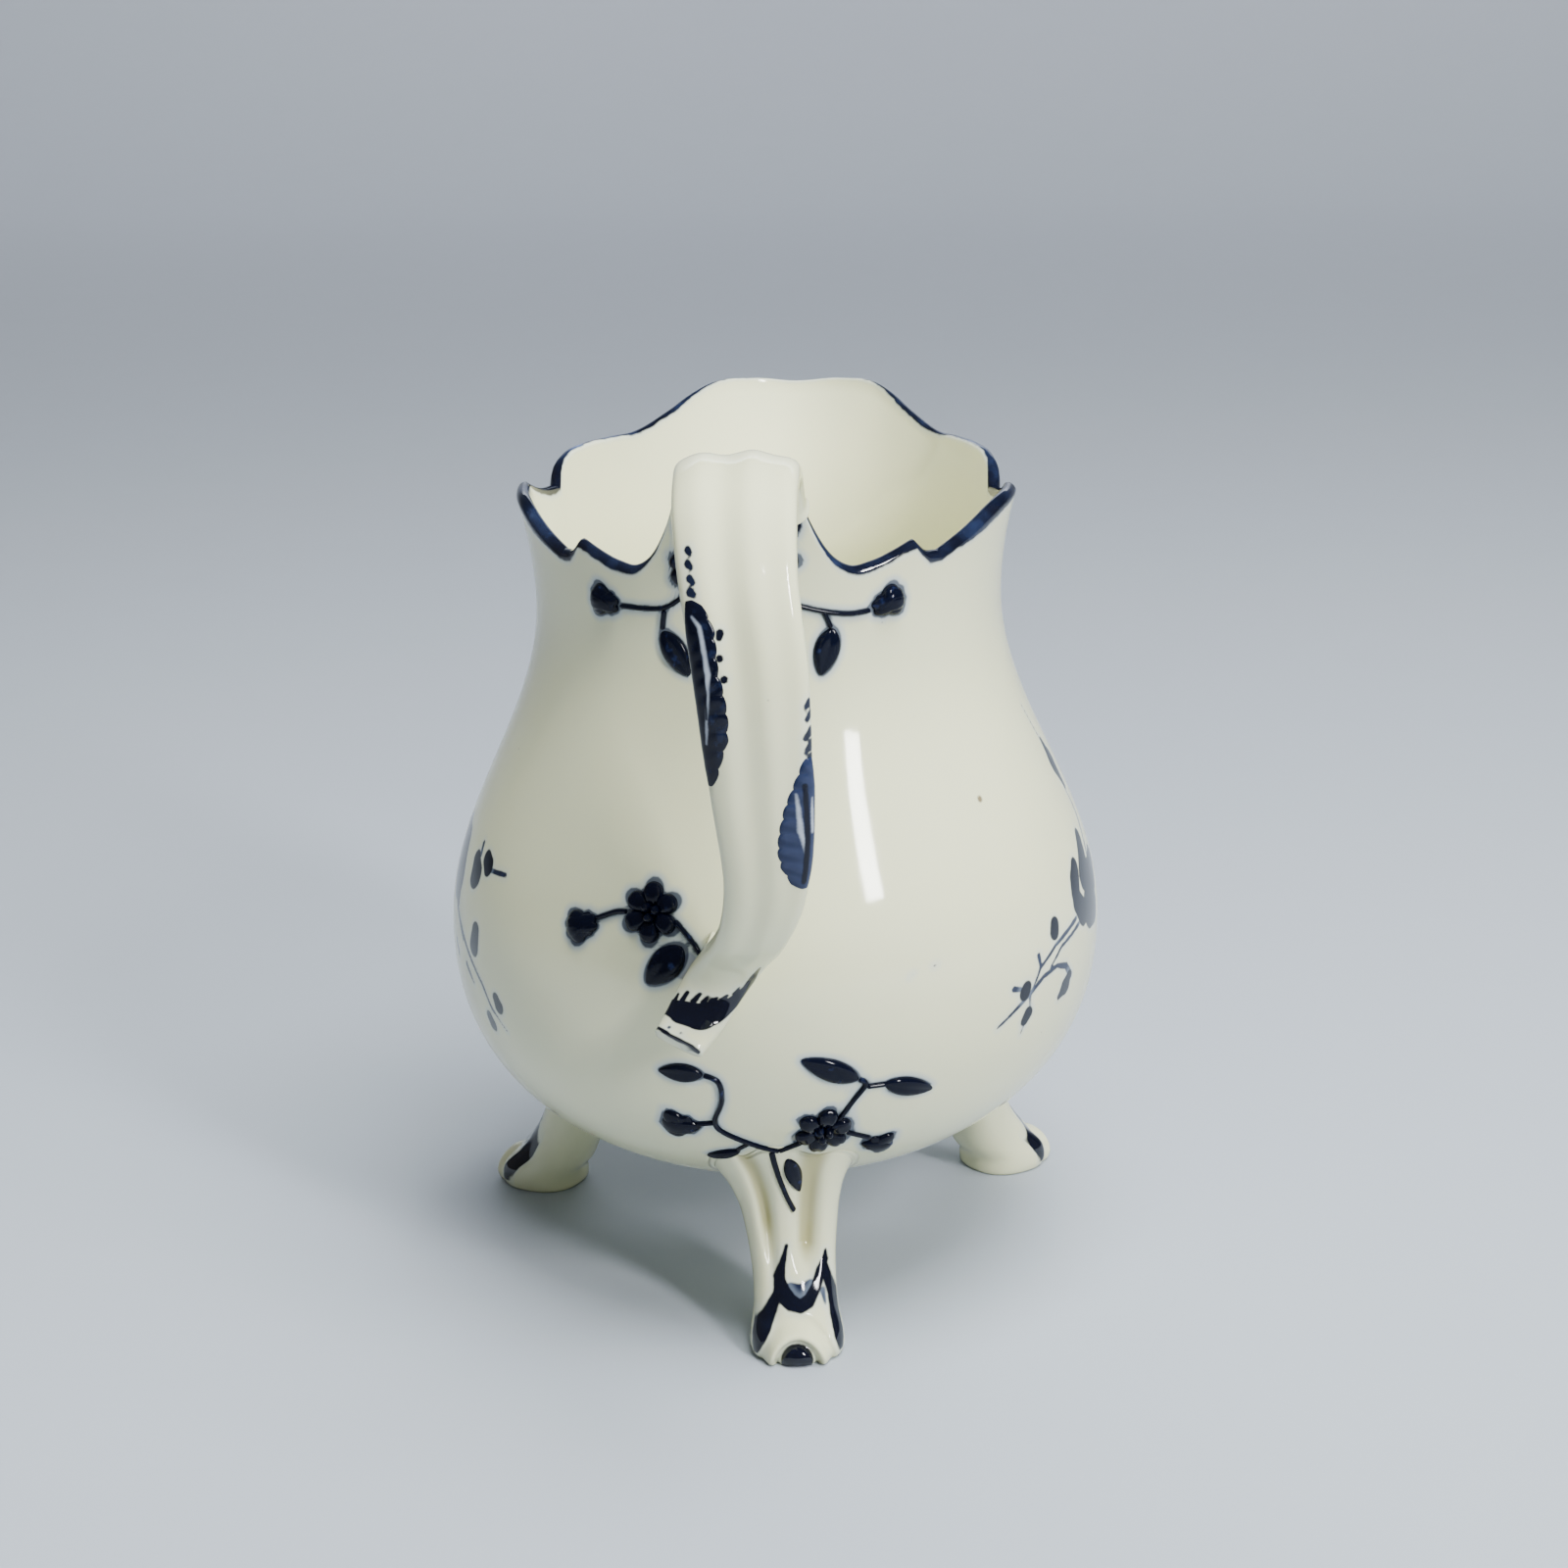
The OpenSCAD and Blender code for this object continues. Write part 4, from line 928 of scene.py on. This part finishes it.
RIGHT_FULL = [
    arc((80.5, 59.8, 1.4), (78.8, 57.2, 2.1), (76.4, 55.4, 2.0)),
    arc((72.9, 57.6, 1.3), (71.2, 56, 1.7), (70.4, 54.6, 1.6)),
    arc((70.6, 53.4, 1.8), (72.4, 51.6, 2.0)), arc((77, 51.2, 3.0), (80, 50.8, 2.8)),
    arc((83, 54.5, 2.6), (86.5, 56, 1.6)), arc((79.5, 53.5, 2.6)),
    arc((60.3, 52.6, 1.1), (60, 51.7, 1.15)), arc((51.2, 46, 1.0), (50.7, 45.3, 1.05)),
    arc((52, 42.3, 0.95), (51.2, 41.4, 0.8)),
    arc((65, 44.5, 0.8), (63.8, 43.3, 1.35), (61.6, 42.3, 0.5)),
    arc((84.5, 72.5, 0.6), (85.5, 69.5, 2.0), (87, 66, 0.7))]
RIGHT_THIN = [
    arc((68.8, 51.6, 0.36), (60, 49.9, 0.3), (55, 47.9, 0.26), (52.1, 44.5, 0.2)),
    arc((69.8, 50.6, 0.32), (61.8, 49.2, 0.26), (58.4, 47.4, 0.18)),
    arc((44.4, 41.8, 0.2), (51.2, 44.6, 0.34), (56, 46.5, 0.34), (60.3, 47.0, 0.34),
        (63.6, 46.2, 0.5), (65.6, 44.4, 0.6)),
    arc((54.6, 49.7, 0.4), (55.1, 48, 0.26)), arc((47.9, 46.5, 0.45), (50, 46, 0.3)),
    arc((52.2, 44.5, 0.22), (52.4, 42.4, 0.2)), arc((51.3, 41, 0.2), (50.6, 39.6, 0.1)),
    arc((80.5, 78, 0.2), (85, 71, 0.25), (87, 62, 0.3), (83, 57, 0.3)),
    arc((26.7, 51.5, 0.1), (27.6, 52, 0.05)), arc((31.2, 52.4, 0.12), (32, 52.6, 0.05))]
LEFT_FULL = [
    arc((-65.4, 60, 1.3), (-64, 58.4, 2.1)), arc((-60.6, 61, 1.2), (-59.2, 60.3, 1.4)),
    arc((-59.6, 51.6, 1.2), (-60, 49.4, 1.5)), arc((-52, 43.8, 0.9), (-51.4, 42.9, 1.15)),
    arc((-55.9, 40.3, 0.9), (-55.2, 39.4, 1.05)),
    arc((-80, 62, 1.4), (-77.2, 59, 3.4), (-74.4, 55.8, 3.0), (-71.4, 52.8, 0.8))]
LEFT_THIN = [
    arc((-71.8, 52.4, 0.4), (-66.8, 50, 0.34), (-62.8, 47.8, 0.32), (-57, 44.8, 0.28),
        (-54.2, 42, 0.26), (-50, 39.6, 0.12)),
    arc((-70.6, 52, 0.3), (-66, 48.8, 0.2)),
    arc((-71.6, 47.4, 0.5), (-69.9, 46, 0.4)), arc((-64.4, 45.9, 0.4), (-61, 43.9, 0.2)),
    arc((-64.4, 62.4, 0.4), (-64, 60.9, 0.4)), arc((-58.4, 60, 0.35), (-52.2, 60.4, 0.35)),
    arc((-87, 73, 0.15), (-87.4, 69.6, 0.25))]
BARE = [arc((-10, 55, 0.9), (-11, 53.2, 0.9)), arc((49.3, 70.5, 0.45)),
        arc((7, 32.4, 0.25))]
across = columns[None, :] * ARC
height = body_rings[..., 2]
hidden = np.clip(2 - from_edge, 0, 1) * 9
body_full = stroke_gap(across, height, *RIGHT_FULL, *LEFT_FULL) + hidden
body_thin = stroke_gap(across, height, *RIGHT_THIN, *LEFT_THIN) + hidden
body_bare = stroke_gap(across, height, *BARE) + hidden
print("painted points on the body:", int((np.minimum(body_full, body_thin) < 0).sum()))

# %% [markdown]
# ## The body's mesh
# The body is made last, because the glaze takes a little blue from every sprig: the cobalt
# bled into it while it melted. So one more mark says how far a point of the skin is from the
# nearest sprig. The strokes above are marks as well.

# %% Distance to the nearest sprig, and the body
spots = np.concatenate([p for p, _ in stains])
sizes = np.concatenate([h for _, h in stains])
flat = body_rings.reshape(-1, 3)
to_sprig = np.full(len(flat), 9.0)
near = np.flatnonzero((from_edge > -1).ravel())
for part in np.array_split(near, 60):
    gap = np.linalg.norm(flat[part][:, None] - spots[None], axis=-1) - sizes
    to_sprig[part] = np.minimum(gap.min(1), 9)
chart = np.stack(np.broadcast_arrays(np.append(columns, columns[0] + 360)[None, :] / 360 + 0.5,
                                     np.append(body_rings[..., 2], body_rings[:, :1, 2], 1)
                                     / 150), -1)
middle_low, middle_high = [0, 0, BOTTOM_Z], [0, 0, BOTTOM_Z + WALL]
body = make_piece(
    "body", [loft(body_rings, middle_low, middle_high, chart, edge=from_edge,
                  band=level * band, depth=level * depth,
                  sprig=to_sprig.reshape(from_edge.shape), full=body_full,
                  thin=body_thin, bare=body_bare)],
    ["body"])

# %% [markdown]
# ## Shader maths
# The paint is worked out by the material itself, from the marks of each piece.
# Such sums are hard to read as node wiring, so one small class wraps a socket and lets them
# be written as ordinary expressions. Every operator adds one node.

# %% A socket that can be used in sums
class Wire:
    """An output socket of the tree that is being built."""
    tree = None

    def __init__(self, socket):
        self.socket = socket

    @classmethod
    def node(cls, kind, settings=None, sockets=None, out=0):
        """Any node: its type, its settings, the values or links of its sockets."""
        made = cls.tree.nodes.new(kind)
        for key, value in (settings or {}).items():
            setattr(made, key, value)
        for key, value in (sockets or {}).items():
            if isinstance(value, Wire):
                cls.tree.links.new(value.socket, made.inputs[key])
            else:
                made.inputs[key].default_value = value
        return cls(made.outputs[out])

    def math(self, operation, *others):
        return Wire.node("ShaderNodeMath", {"operation": operation},
                         dict(enumerate((self, *others))))

    def __add__(self, other):
        return self.math("ADD", other)

    __radd__ = __add__

    def __sub__(self, other):
        return self.math("SUBTRACT", other)

    def __rsub__(self, other):
        return (self * -1) + other

    def __mul__(self, other):
        return self.math("MULTIPLY", other)

    __rmul__ = __mul__

    def fade(self, start, end, to_low=0.0, to_high=1.0):
        """Smooth step from to_low at start to to_high at end."""
        return Wire.node("ShaderNodeMapRange", {"interpolation_type": "SMOOTHSTEP"},
                         {0: self, 1: start, 2: end, 3: to_low, 4: to_high})


def mark(name):
    """A number that a piece carries over its surface."""
    return Wire.node("ShaderNodeAttribute", {"attribute_name": name}, out=2)


def speckle(scale, detail):
    """Noise from 0 to 1, with scale in lumps per metre, over the object's own space."""
    where = Wire.node("ShaderNodeTexCoord", out=3)
    return Wire.node("ShaderNodeTexNoise", {}, {"Vector": where, "Scale": scale,
                                                "Detail": detail})


def mixed(a, b, share):
    """Colour between a and b."""
    return Wire.node("ShaderNodeMix", {"data_type": "RGBA"},
                     {0: share, 6: a if isinstance(a, Wire) else (*a, 1),
                      7: b if isinstance(b, Wire) else (*b, 1)}, out=2)


# %% [markdown]
# ## Porcelain under a clear glaze
# The clay is a creamy white, a little green-grey outside. Inside the mouth it is painted a
# lighter cream: painted light, for the light that gathers in the mouth. It lets some light
# in, which softens every shadow on it. Over it lies a thin, very smooth glaze. It isn't
# perfectly flat: it waves a little, which bends the reflections of the lamps, and it holds a
# few dark specks of iron. On the body, the strap and the feet the paint is under this glaze,
# so it changes the colour and never the gloss.

# %% The glaze and its shader
CREAM, PAINTED_LIGHT_CREAM, GREEN_GREY = (0.75, 0.755, 0.5), (0.9, 0.895, 0.6), (0.67, 0.68, 0.47)
NAVY, BLUE, WASH = (0.002, 0.003, 0.01), (0.011, 0.018, 0.05), (0.07, 0.105, 0.21)
OLIVE_GLAZE_AND_SHADE, RUST, IRON = (0.33, 0.3, 0.12), (0.12, 0.07, 0.03), (0.2, 0.17, 0.13)
BLEED, RIM_BLEED, HALO = (0.45, 0.55, 0.68), (0.42, 0.52, 0.68), (0.36, 0.46, 0.6)
POOLED, PAINTED_LIT_BLUE, SLIT = (0.03, 0.05, 0.16), (0.03, 0.042, 0.095), (0.42, 0.47, 0.55)


def finish_of(name):
    """A new material and its empty shader; what is built next goes into it."""
    material = bpy.data.materials.new(name)
    material.use_nodes = True
    Wire.tree = material.node_tree
    shader = Wire.tree.nodes["Principled BSDF"]
    return material, shader


def glaze(shader, colour, rough, wave=0.05, soft=0.12, gloss=1.48, coat=0.1):
    """Joins a colour and a roughness to the shader, with the gloss and the waves of a
    clear glaze, and lets a share of the light into the clay."""
    shader.inputs["IOR"].default_value = gloss
    shader.inputs["Subsurface Weight"].default_value = soft
    shader.inputs["Subsurface Radius"].default_value = (0.004, 0.0035, 0.0025)
    shader.inputs["Subsurface Scale"].default_value = 0.6
    shader.inputs["Coat Weight"].default_value = coat
    shader.inputs["Coat Roughness"].default_value = 0.03
    waves = speckle(70, 1.0) * 1.0 + speckle(420, 1.0) * 0.06
    bump = Wire.node("ShaderNodeBump", {}, {"Strength": wave, "Distance": 0.001,
                                            "Height": waves})
    for socket, wire in (("Base Color", colour), ("Roughness", rough), ("Normal", bump)):
        Wire.tree.links.new(wire.socket, shader.inputs[socket])


def clay_colour():
    """Cream with slow patches of green-grey, and iron specks."""
    patches = speckle(38, 3.0).fade(0.35, 0.7)
    colour = mixed(CREAM, GREEN_GREY, patches * 0.35)
    specks = Wire.node("ShaderNodeTexVoronoi", {"feature": "F1"},
                       {"Vector": Wire.node("ShaderNodeTexCoord", out=3), "Scale": 210.0})
    chosen = speckle(130, 0.0).fade(0.62, 0.66)
    return mixed(colour, IRON, specks.fade(0.035, 0.02) * chosen * 0.5)


def painted(colour, gap, deep, soft):
    """Cobalt over a colour: full inside the strokes, with a thin blue bleed around them."""
    wash = gap.fade(1.0, 0.0) * 0.22
    ink = mixed(WASH, BLUE, deep.fade(0.0, 0.5))
    ink = mixed(ink, NAVY, deep.fade(0.35, 1.0))
    return mixed(mixed(colour, BLEED, wash), ink, gap.fade(soft, -soft))


# %% Body: rim blue, painted sprays, the bleed of the sprigs
body_finish, shader = finish_of("glazed_body")
edge = mark("edge")
dust = speckle(900, 3.0)
slow = speckle(260, 2.0)
# Painted light: the inside of the mouth is painted a lighter cream, fading in over the first 14 mm
# below the crest of the rim.
colour = mixed(clay_colour(), PAINTED_LIGHT_CREAM, edge.fade(0, -14) * 0.75)

brushed = (dust - 0.5) * 0.2
colour = painted(colour, mark("thin") + brushed, slow * 0.5 + 0.25, 0.12)
colour = painted(colour, mark("full") + brushed, slow * 0.8 + 0.6, 0.14)
colour = mixed(colour, RUST, (mark("bare") + (dust - 0.5) * 0.6).fade(0.2, -0.2) * 0.85)

halo = mark("sprig")
colour = mixed(colour, HALO, halo.fade(1.2, 0.0) * 0.6)
colour = mixed(colour, BLUE, halo.fade(0.25, -0.05) * 0.85)

rim = edge.math("ABSOLUTE") - mark("band") * edge.fade(-1.2, 0.6, 0.75, 1.0)
rim = rim + (dust - 0.5) * 0.4 + (slow - 0.5) * 0.6
ink_depth = mark("depth") + (slow - 0.5) * 1.2
ink = mixed(mixed(WASH, BLUE, ink_depth.fade(0.2, 0.65)), NAVY, ink_depth.fade(0.5, 1.05))
colour = mixed(colour, RIM_BLEED, rim.fade(1.0, -0.2) * 0.4)
colour = mixed(colour, ink, rim.fade(0.22, -0.22) * mark("depth").fade(0.2, 0.5, 0.7, 1.0))
glaze(shader, colour, dust.fade(0.2, 0.8, 0.05, 0.1))
print("body finish:", len(Wire.tree.nodes), "nodes")

# %% [markdown]
# ## Cobalt on the sprigs
# The sprigs were brushed all over with cobalt. Where it is thick it is nearly black; on thin
# edges, where the glaze ran off, it turns blue. Its gloss is weaker than the clay's.

# %% Finish of the sprigs
sprig_finish, shader = finish_of("glazed_cobalt")
height = mark("height")
pool = speckle(600, 3.0)
colour = mixed(BLUE, NAVY, (height + (pool - 0.5) * 0.3).fade(-0.1, 0.12))
colour = mixed(colour, POOLED, pool.fade(0.6, 0.8) * 0.5)
glaze(shader, colour, pool.fade(0.2, 0.8, 0.05, 0.14), 0.3, 0.0, 1.27, 0.0)

scroll_finish, shader = finish_of("glazed_scroll")
pool = speckle(600, 3.0)
dark_cobalt = mixed(NAVY, BLUE, pool.fade(0.5, 0.75) * 0.7)
# Painted light and shade: the ridges of the plumes are painted lighter and the grooves darker,
# with random patches.
light = mark("groove").fade(0.9, 0.1) * 0.5 + pool.fade(0.5, 0.8) * 0.3
plumes = mixed(BLUE, PAINTED_LIT_BLUE, light)
# Painted light: the right scroll, which faces the lamps, takes the lighter blue.
colour = mixed(dark_cobalt, plumes, mark("painted_lit_side"))
slit = (mark("pale") + (pool - 0.5) * 0.3).fade(0.25, -0.15)
colour = mixed(colour, SLIT, slit * 0.85)
colour = mixed(colour, NAVY, mark("dark").fade(0.2, -0.1))
glaze(shader, colour, pool.fade(0.2, 0.8, 0.05, 0.12), 0.25, 0.0, 1.35, 0.0)
print("cobalt finishes made")

# %% [markdown]
# ## Strap and feet
# Both are white clay under strokes of cobalt, with the same glaze. In the flutes of a foot the
# colour is a darker olive: the tint of glaze that ran together there, and painted shade in the
# hollows.

# %% Finishes of the strap and the feet
strap_finish, shader = finish_of("glazed_strap")
dust, slow = speckle(900, 3.0), speckle(260, 2.0)
brushed = (dust - 0.5) * 0.2
colour = painted(clay_colour(), mark("thin") + brushed, slow * 0.5 + 0.45, 0.12)
colour = painted(colour, mark("full") + brushed, slow * 0.9 + 0.55, 0.12)
glaze(shader, colour, dust.fade(0.2, 0.8, 0.05, 0.1))

foot_finish, shader = finish_of("glazed_foot")
dust, slow = speckle(900, 3.0), speckle(260, 2.0)
brushed = (dust - 0.5) * 0.2
# Painted shade: the flutes are darkened to olive, along with the tint of pooled glaze.
colour = mixed(clay_colour(), OLIVE_GLAZE_AND_SHADE, mark("flute").fade(0.25, 1.0) * 0.8)
colour = painted(colour, mark("thin") + brushed, slow * 0.3 + 0.4, 0.15)
colour = painted(colour, mark("full") + brushed, slow * 0.9 + 0.6, 0.14)
glaze(shader, colour, dust.fade(0.2, 0.8, 0.05, 0.1))

# %% Give every piece its finish
for piece, finish in [(body, body_finish), (strap, strap_finish), (pad, strap_finish),
                      *((f, foot_finish) for f in feet), *((p, sprig_finish) for p in sprigs),
                      *((p, scroll_finish) for p in scrolls)]:
    piece.data.materials.append(finish)
print(len(sprigs) + len(scrolls) + len(feet) + 3, "pieces have a finish")

# %% [markdown]
# ## Floor, lamps and camera
# The jug stands on a pale grey paper that curves up behind it. The main light is a soft lamp
# close above it, a little to the right, so tops are bright and the shadow lies round the
# feet. A weaker one shines from the right, and one far back keeps the paper light. These
# three are hidden from reflections. A narrow bright lamp isn't: it gives the long streak on
# the belly.

# %% Paper
def paper(name):
    """A floor that curves up into a backdrop: the profile is level, a quarter circle, then
    upright, carried sideways."""
    turn = np.linspace(0, np.pi / 2, 40)
    bend, start, wide = 1.4, 1.4, 5.0
    y = np.concatenate([[-2.5, 0], start + bend * np.sin(turn), [start + bend]])
    z = np.concatenate([[0, 0], bend - bend * np.cos(turn), [4.5]])
    x = np.linspace(-wide, wide, 3)
    grid = np.stack(np.broadcast_arrays(x[None, :], y[:, None], z[:, None]), -1)
    grid = grid.reshape(-1, 3)
    k = (np.arange(len(y) - 1)[:, None] * 3 + np.arange(2)).ravel()
    mesh = bpy.data.meshes.new(name)
    mesh.from_pydata(grid.tolist(), [], np.stack([k, k + 1, k + 4, k + 3], -1).tolist())
    mesh.shade_smooth()
    made = bpy.data.objects.new(name, mesh)
    bpy.context.scene.collection.objects.link(made)
    return made


floor = paper("paper")
paper_finish, shader = finish_of("matt_paper")
grain = speckle(40, 4.0)
colour = mixed((0.4, 0.44, 0.505), (0.41, 0.45, 0.515), grain)
Wire.tree.links.new(colour.socket, shader.inputs["Base Color"])
shader.inputs["Roughness"].default_value = 0.7
shader.inputs["IOR"].default_value = 1.35
floor.data.materials.append(paper_finish)


def lamp(name, place_, aim, size, power, tint=(1, 1, 1)):
    """A soft rectangular lamp at a place, facing another."""
    light = bpy.data.lights.new(name, "AREA")
    light.shape, light.size, light.size_y = "RECTANGLE", *size
    light.energy, light.color = power, tint
    made = bpy.data.objects.new(name, light)
    bpy.context.scene.collection.objects.link(made)
    made.location = place_
    made.rotation_euler = (Vector(aim) - Vector(place_)).to_track_quat("-Z", "Y").to_euler()
    return made


for soft_lamp in (
        lamp("key_lamp", (0.13, -0.11, 0.68), (0, 0, 0.06), (0.42, 0.42), 10, (0.96, 1, 0.985)),
        lamp("right_lamp", (1, -0.4, 0.7), (0, 0, 0.08), (0.6, 0.6), 4, (0.97, 1, 0.98)),
        lamp("back_lamp", (0, 3, 1.8), (0, 3.2, 0), (2.5, 1.2), 170)):
    soft_lamp.visible_glossy = False
lamp("strip_lamp", (0.64, -0.72, 0.62), (0, 0, 0.07), (0.12, 0.38), 12)
world = bpy.data.worlds.new("studio")
bpy.context.scene.world = world
world.use_nodes = True
world.node_tree.nodes["Background"].inputs["Color"].default_value = (0.97, 0.98, 1.0, 1)
world.node_tree.nodes["Background"].inputs["Strength"].default_value = 0.17

# %% Camera
DISTANCE, AIM_Z, TILT, SIDE_TURN, ROLL = 0.430, 0.06532, 16.27, 4.5, 1.2
right = np.array([np.cos(SIDE_TURN * TURN), np.sin(SIDE_TURN * TURN), 0])
look = np.array([-np.sin(SIDE_TURN * TURN) * np.cos(TILT * TURN),
                 np.cos(SIDE_TURN * TURN) * np.cos(TILT * TURN), -np.sin(TILT * TURN)])
upright = np.cross(right, look)
rolled = right * np.cos(ROLL * TURN) - upright * np.sin(ROLL * TURN)
top_way = upright * np.cos(ROLL * TURN) + right * np.sin(ROLL * TURN)
camera = bpy.data.objects.new("camera", bpy.data.cameras.new("camera"))
bpy.context.scene.collection.objects.link(camera)
camera.data.lens, camera.data.sensor_width = 71.96, 36
camera.data.shift_x = 0.0072
where = np.array([0, AXIS_Y * MM, AIM_Z]) - DISTANCE * look
axes = Matrix([[*rolled, 0], [*top_way, 0], [*-look, 0], [0, 0, 0, 1]])
camera.matrix_world = axes.transposed()
camera.location = where
bpy.context.scene.camera = camera
print("camera at", (where / MM).round(1), "mm")
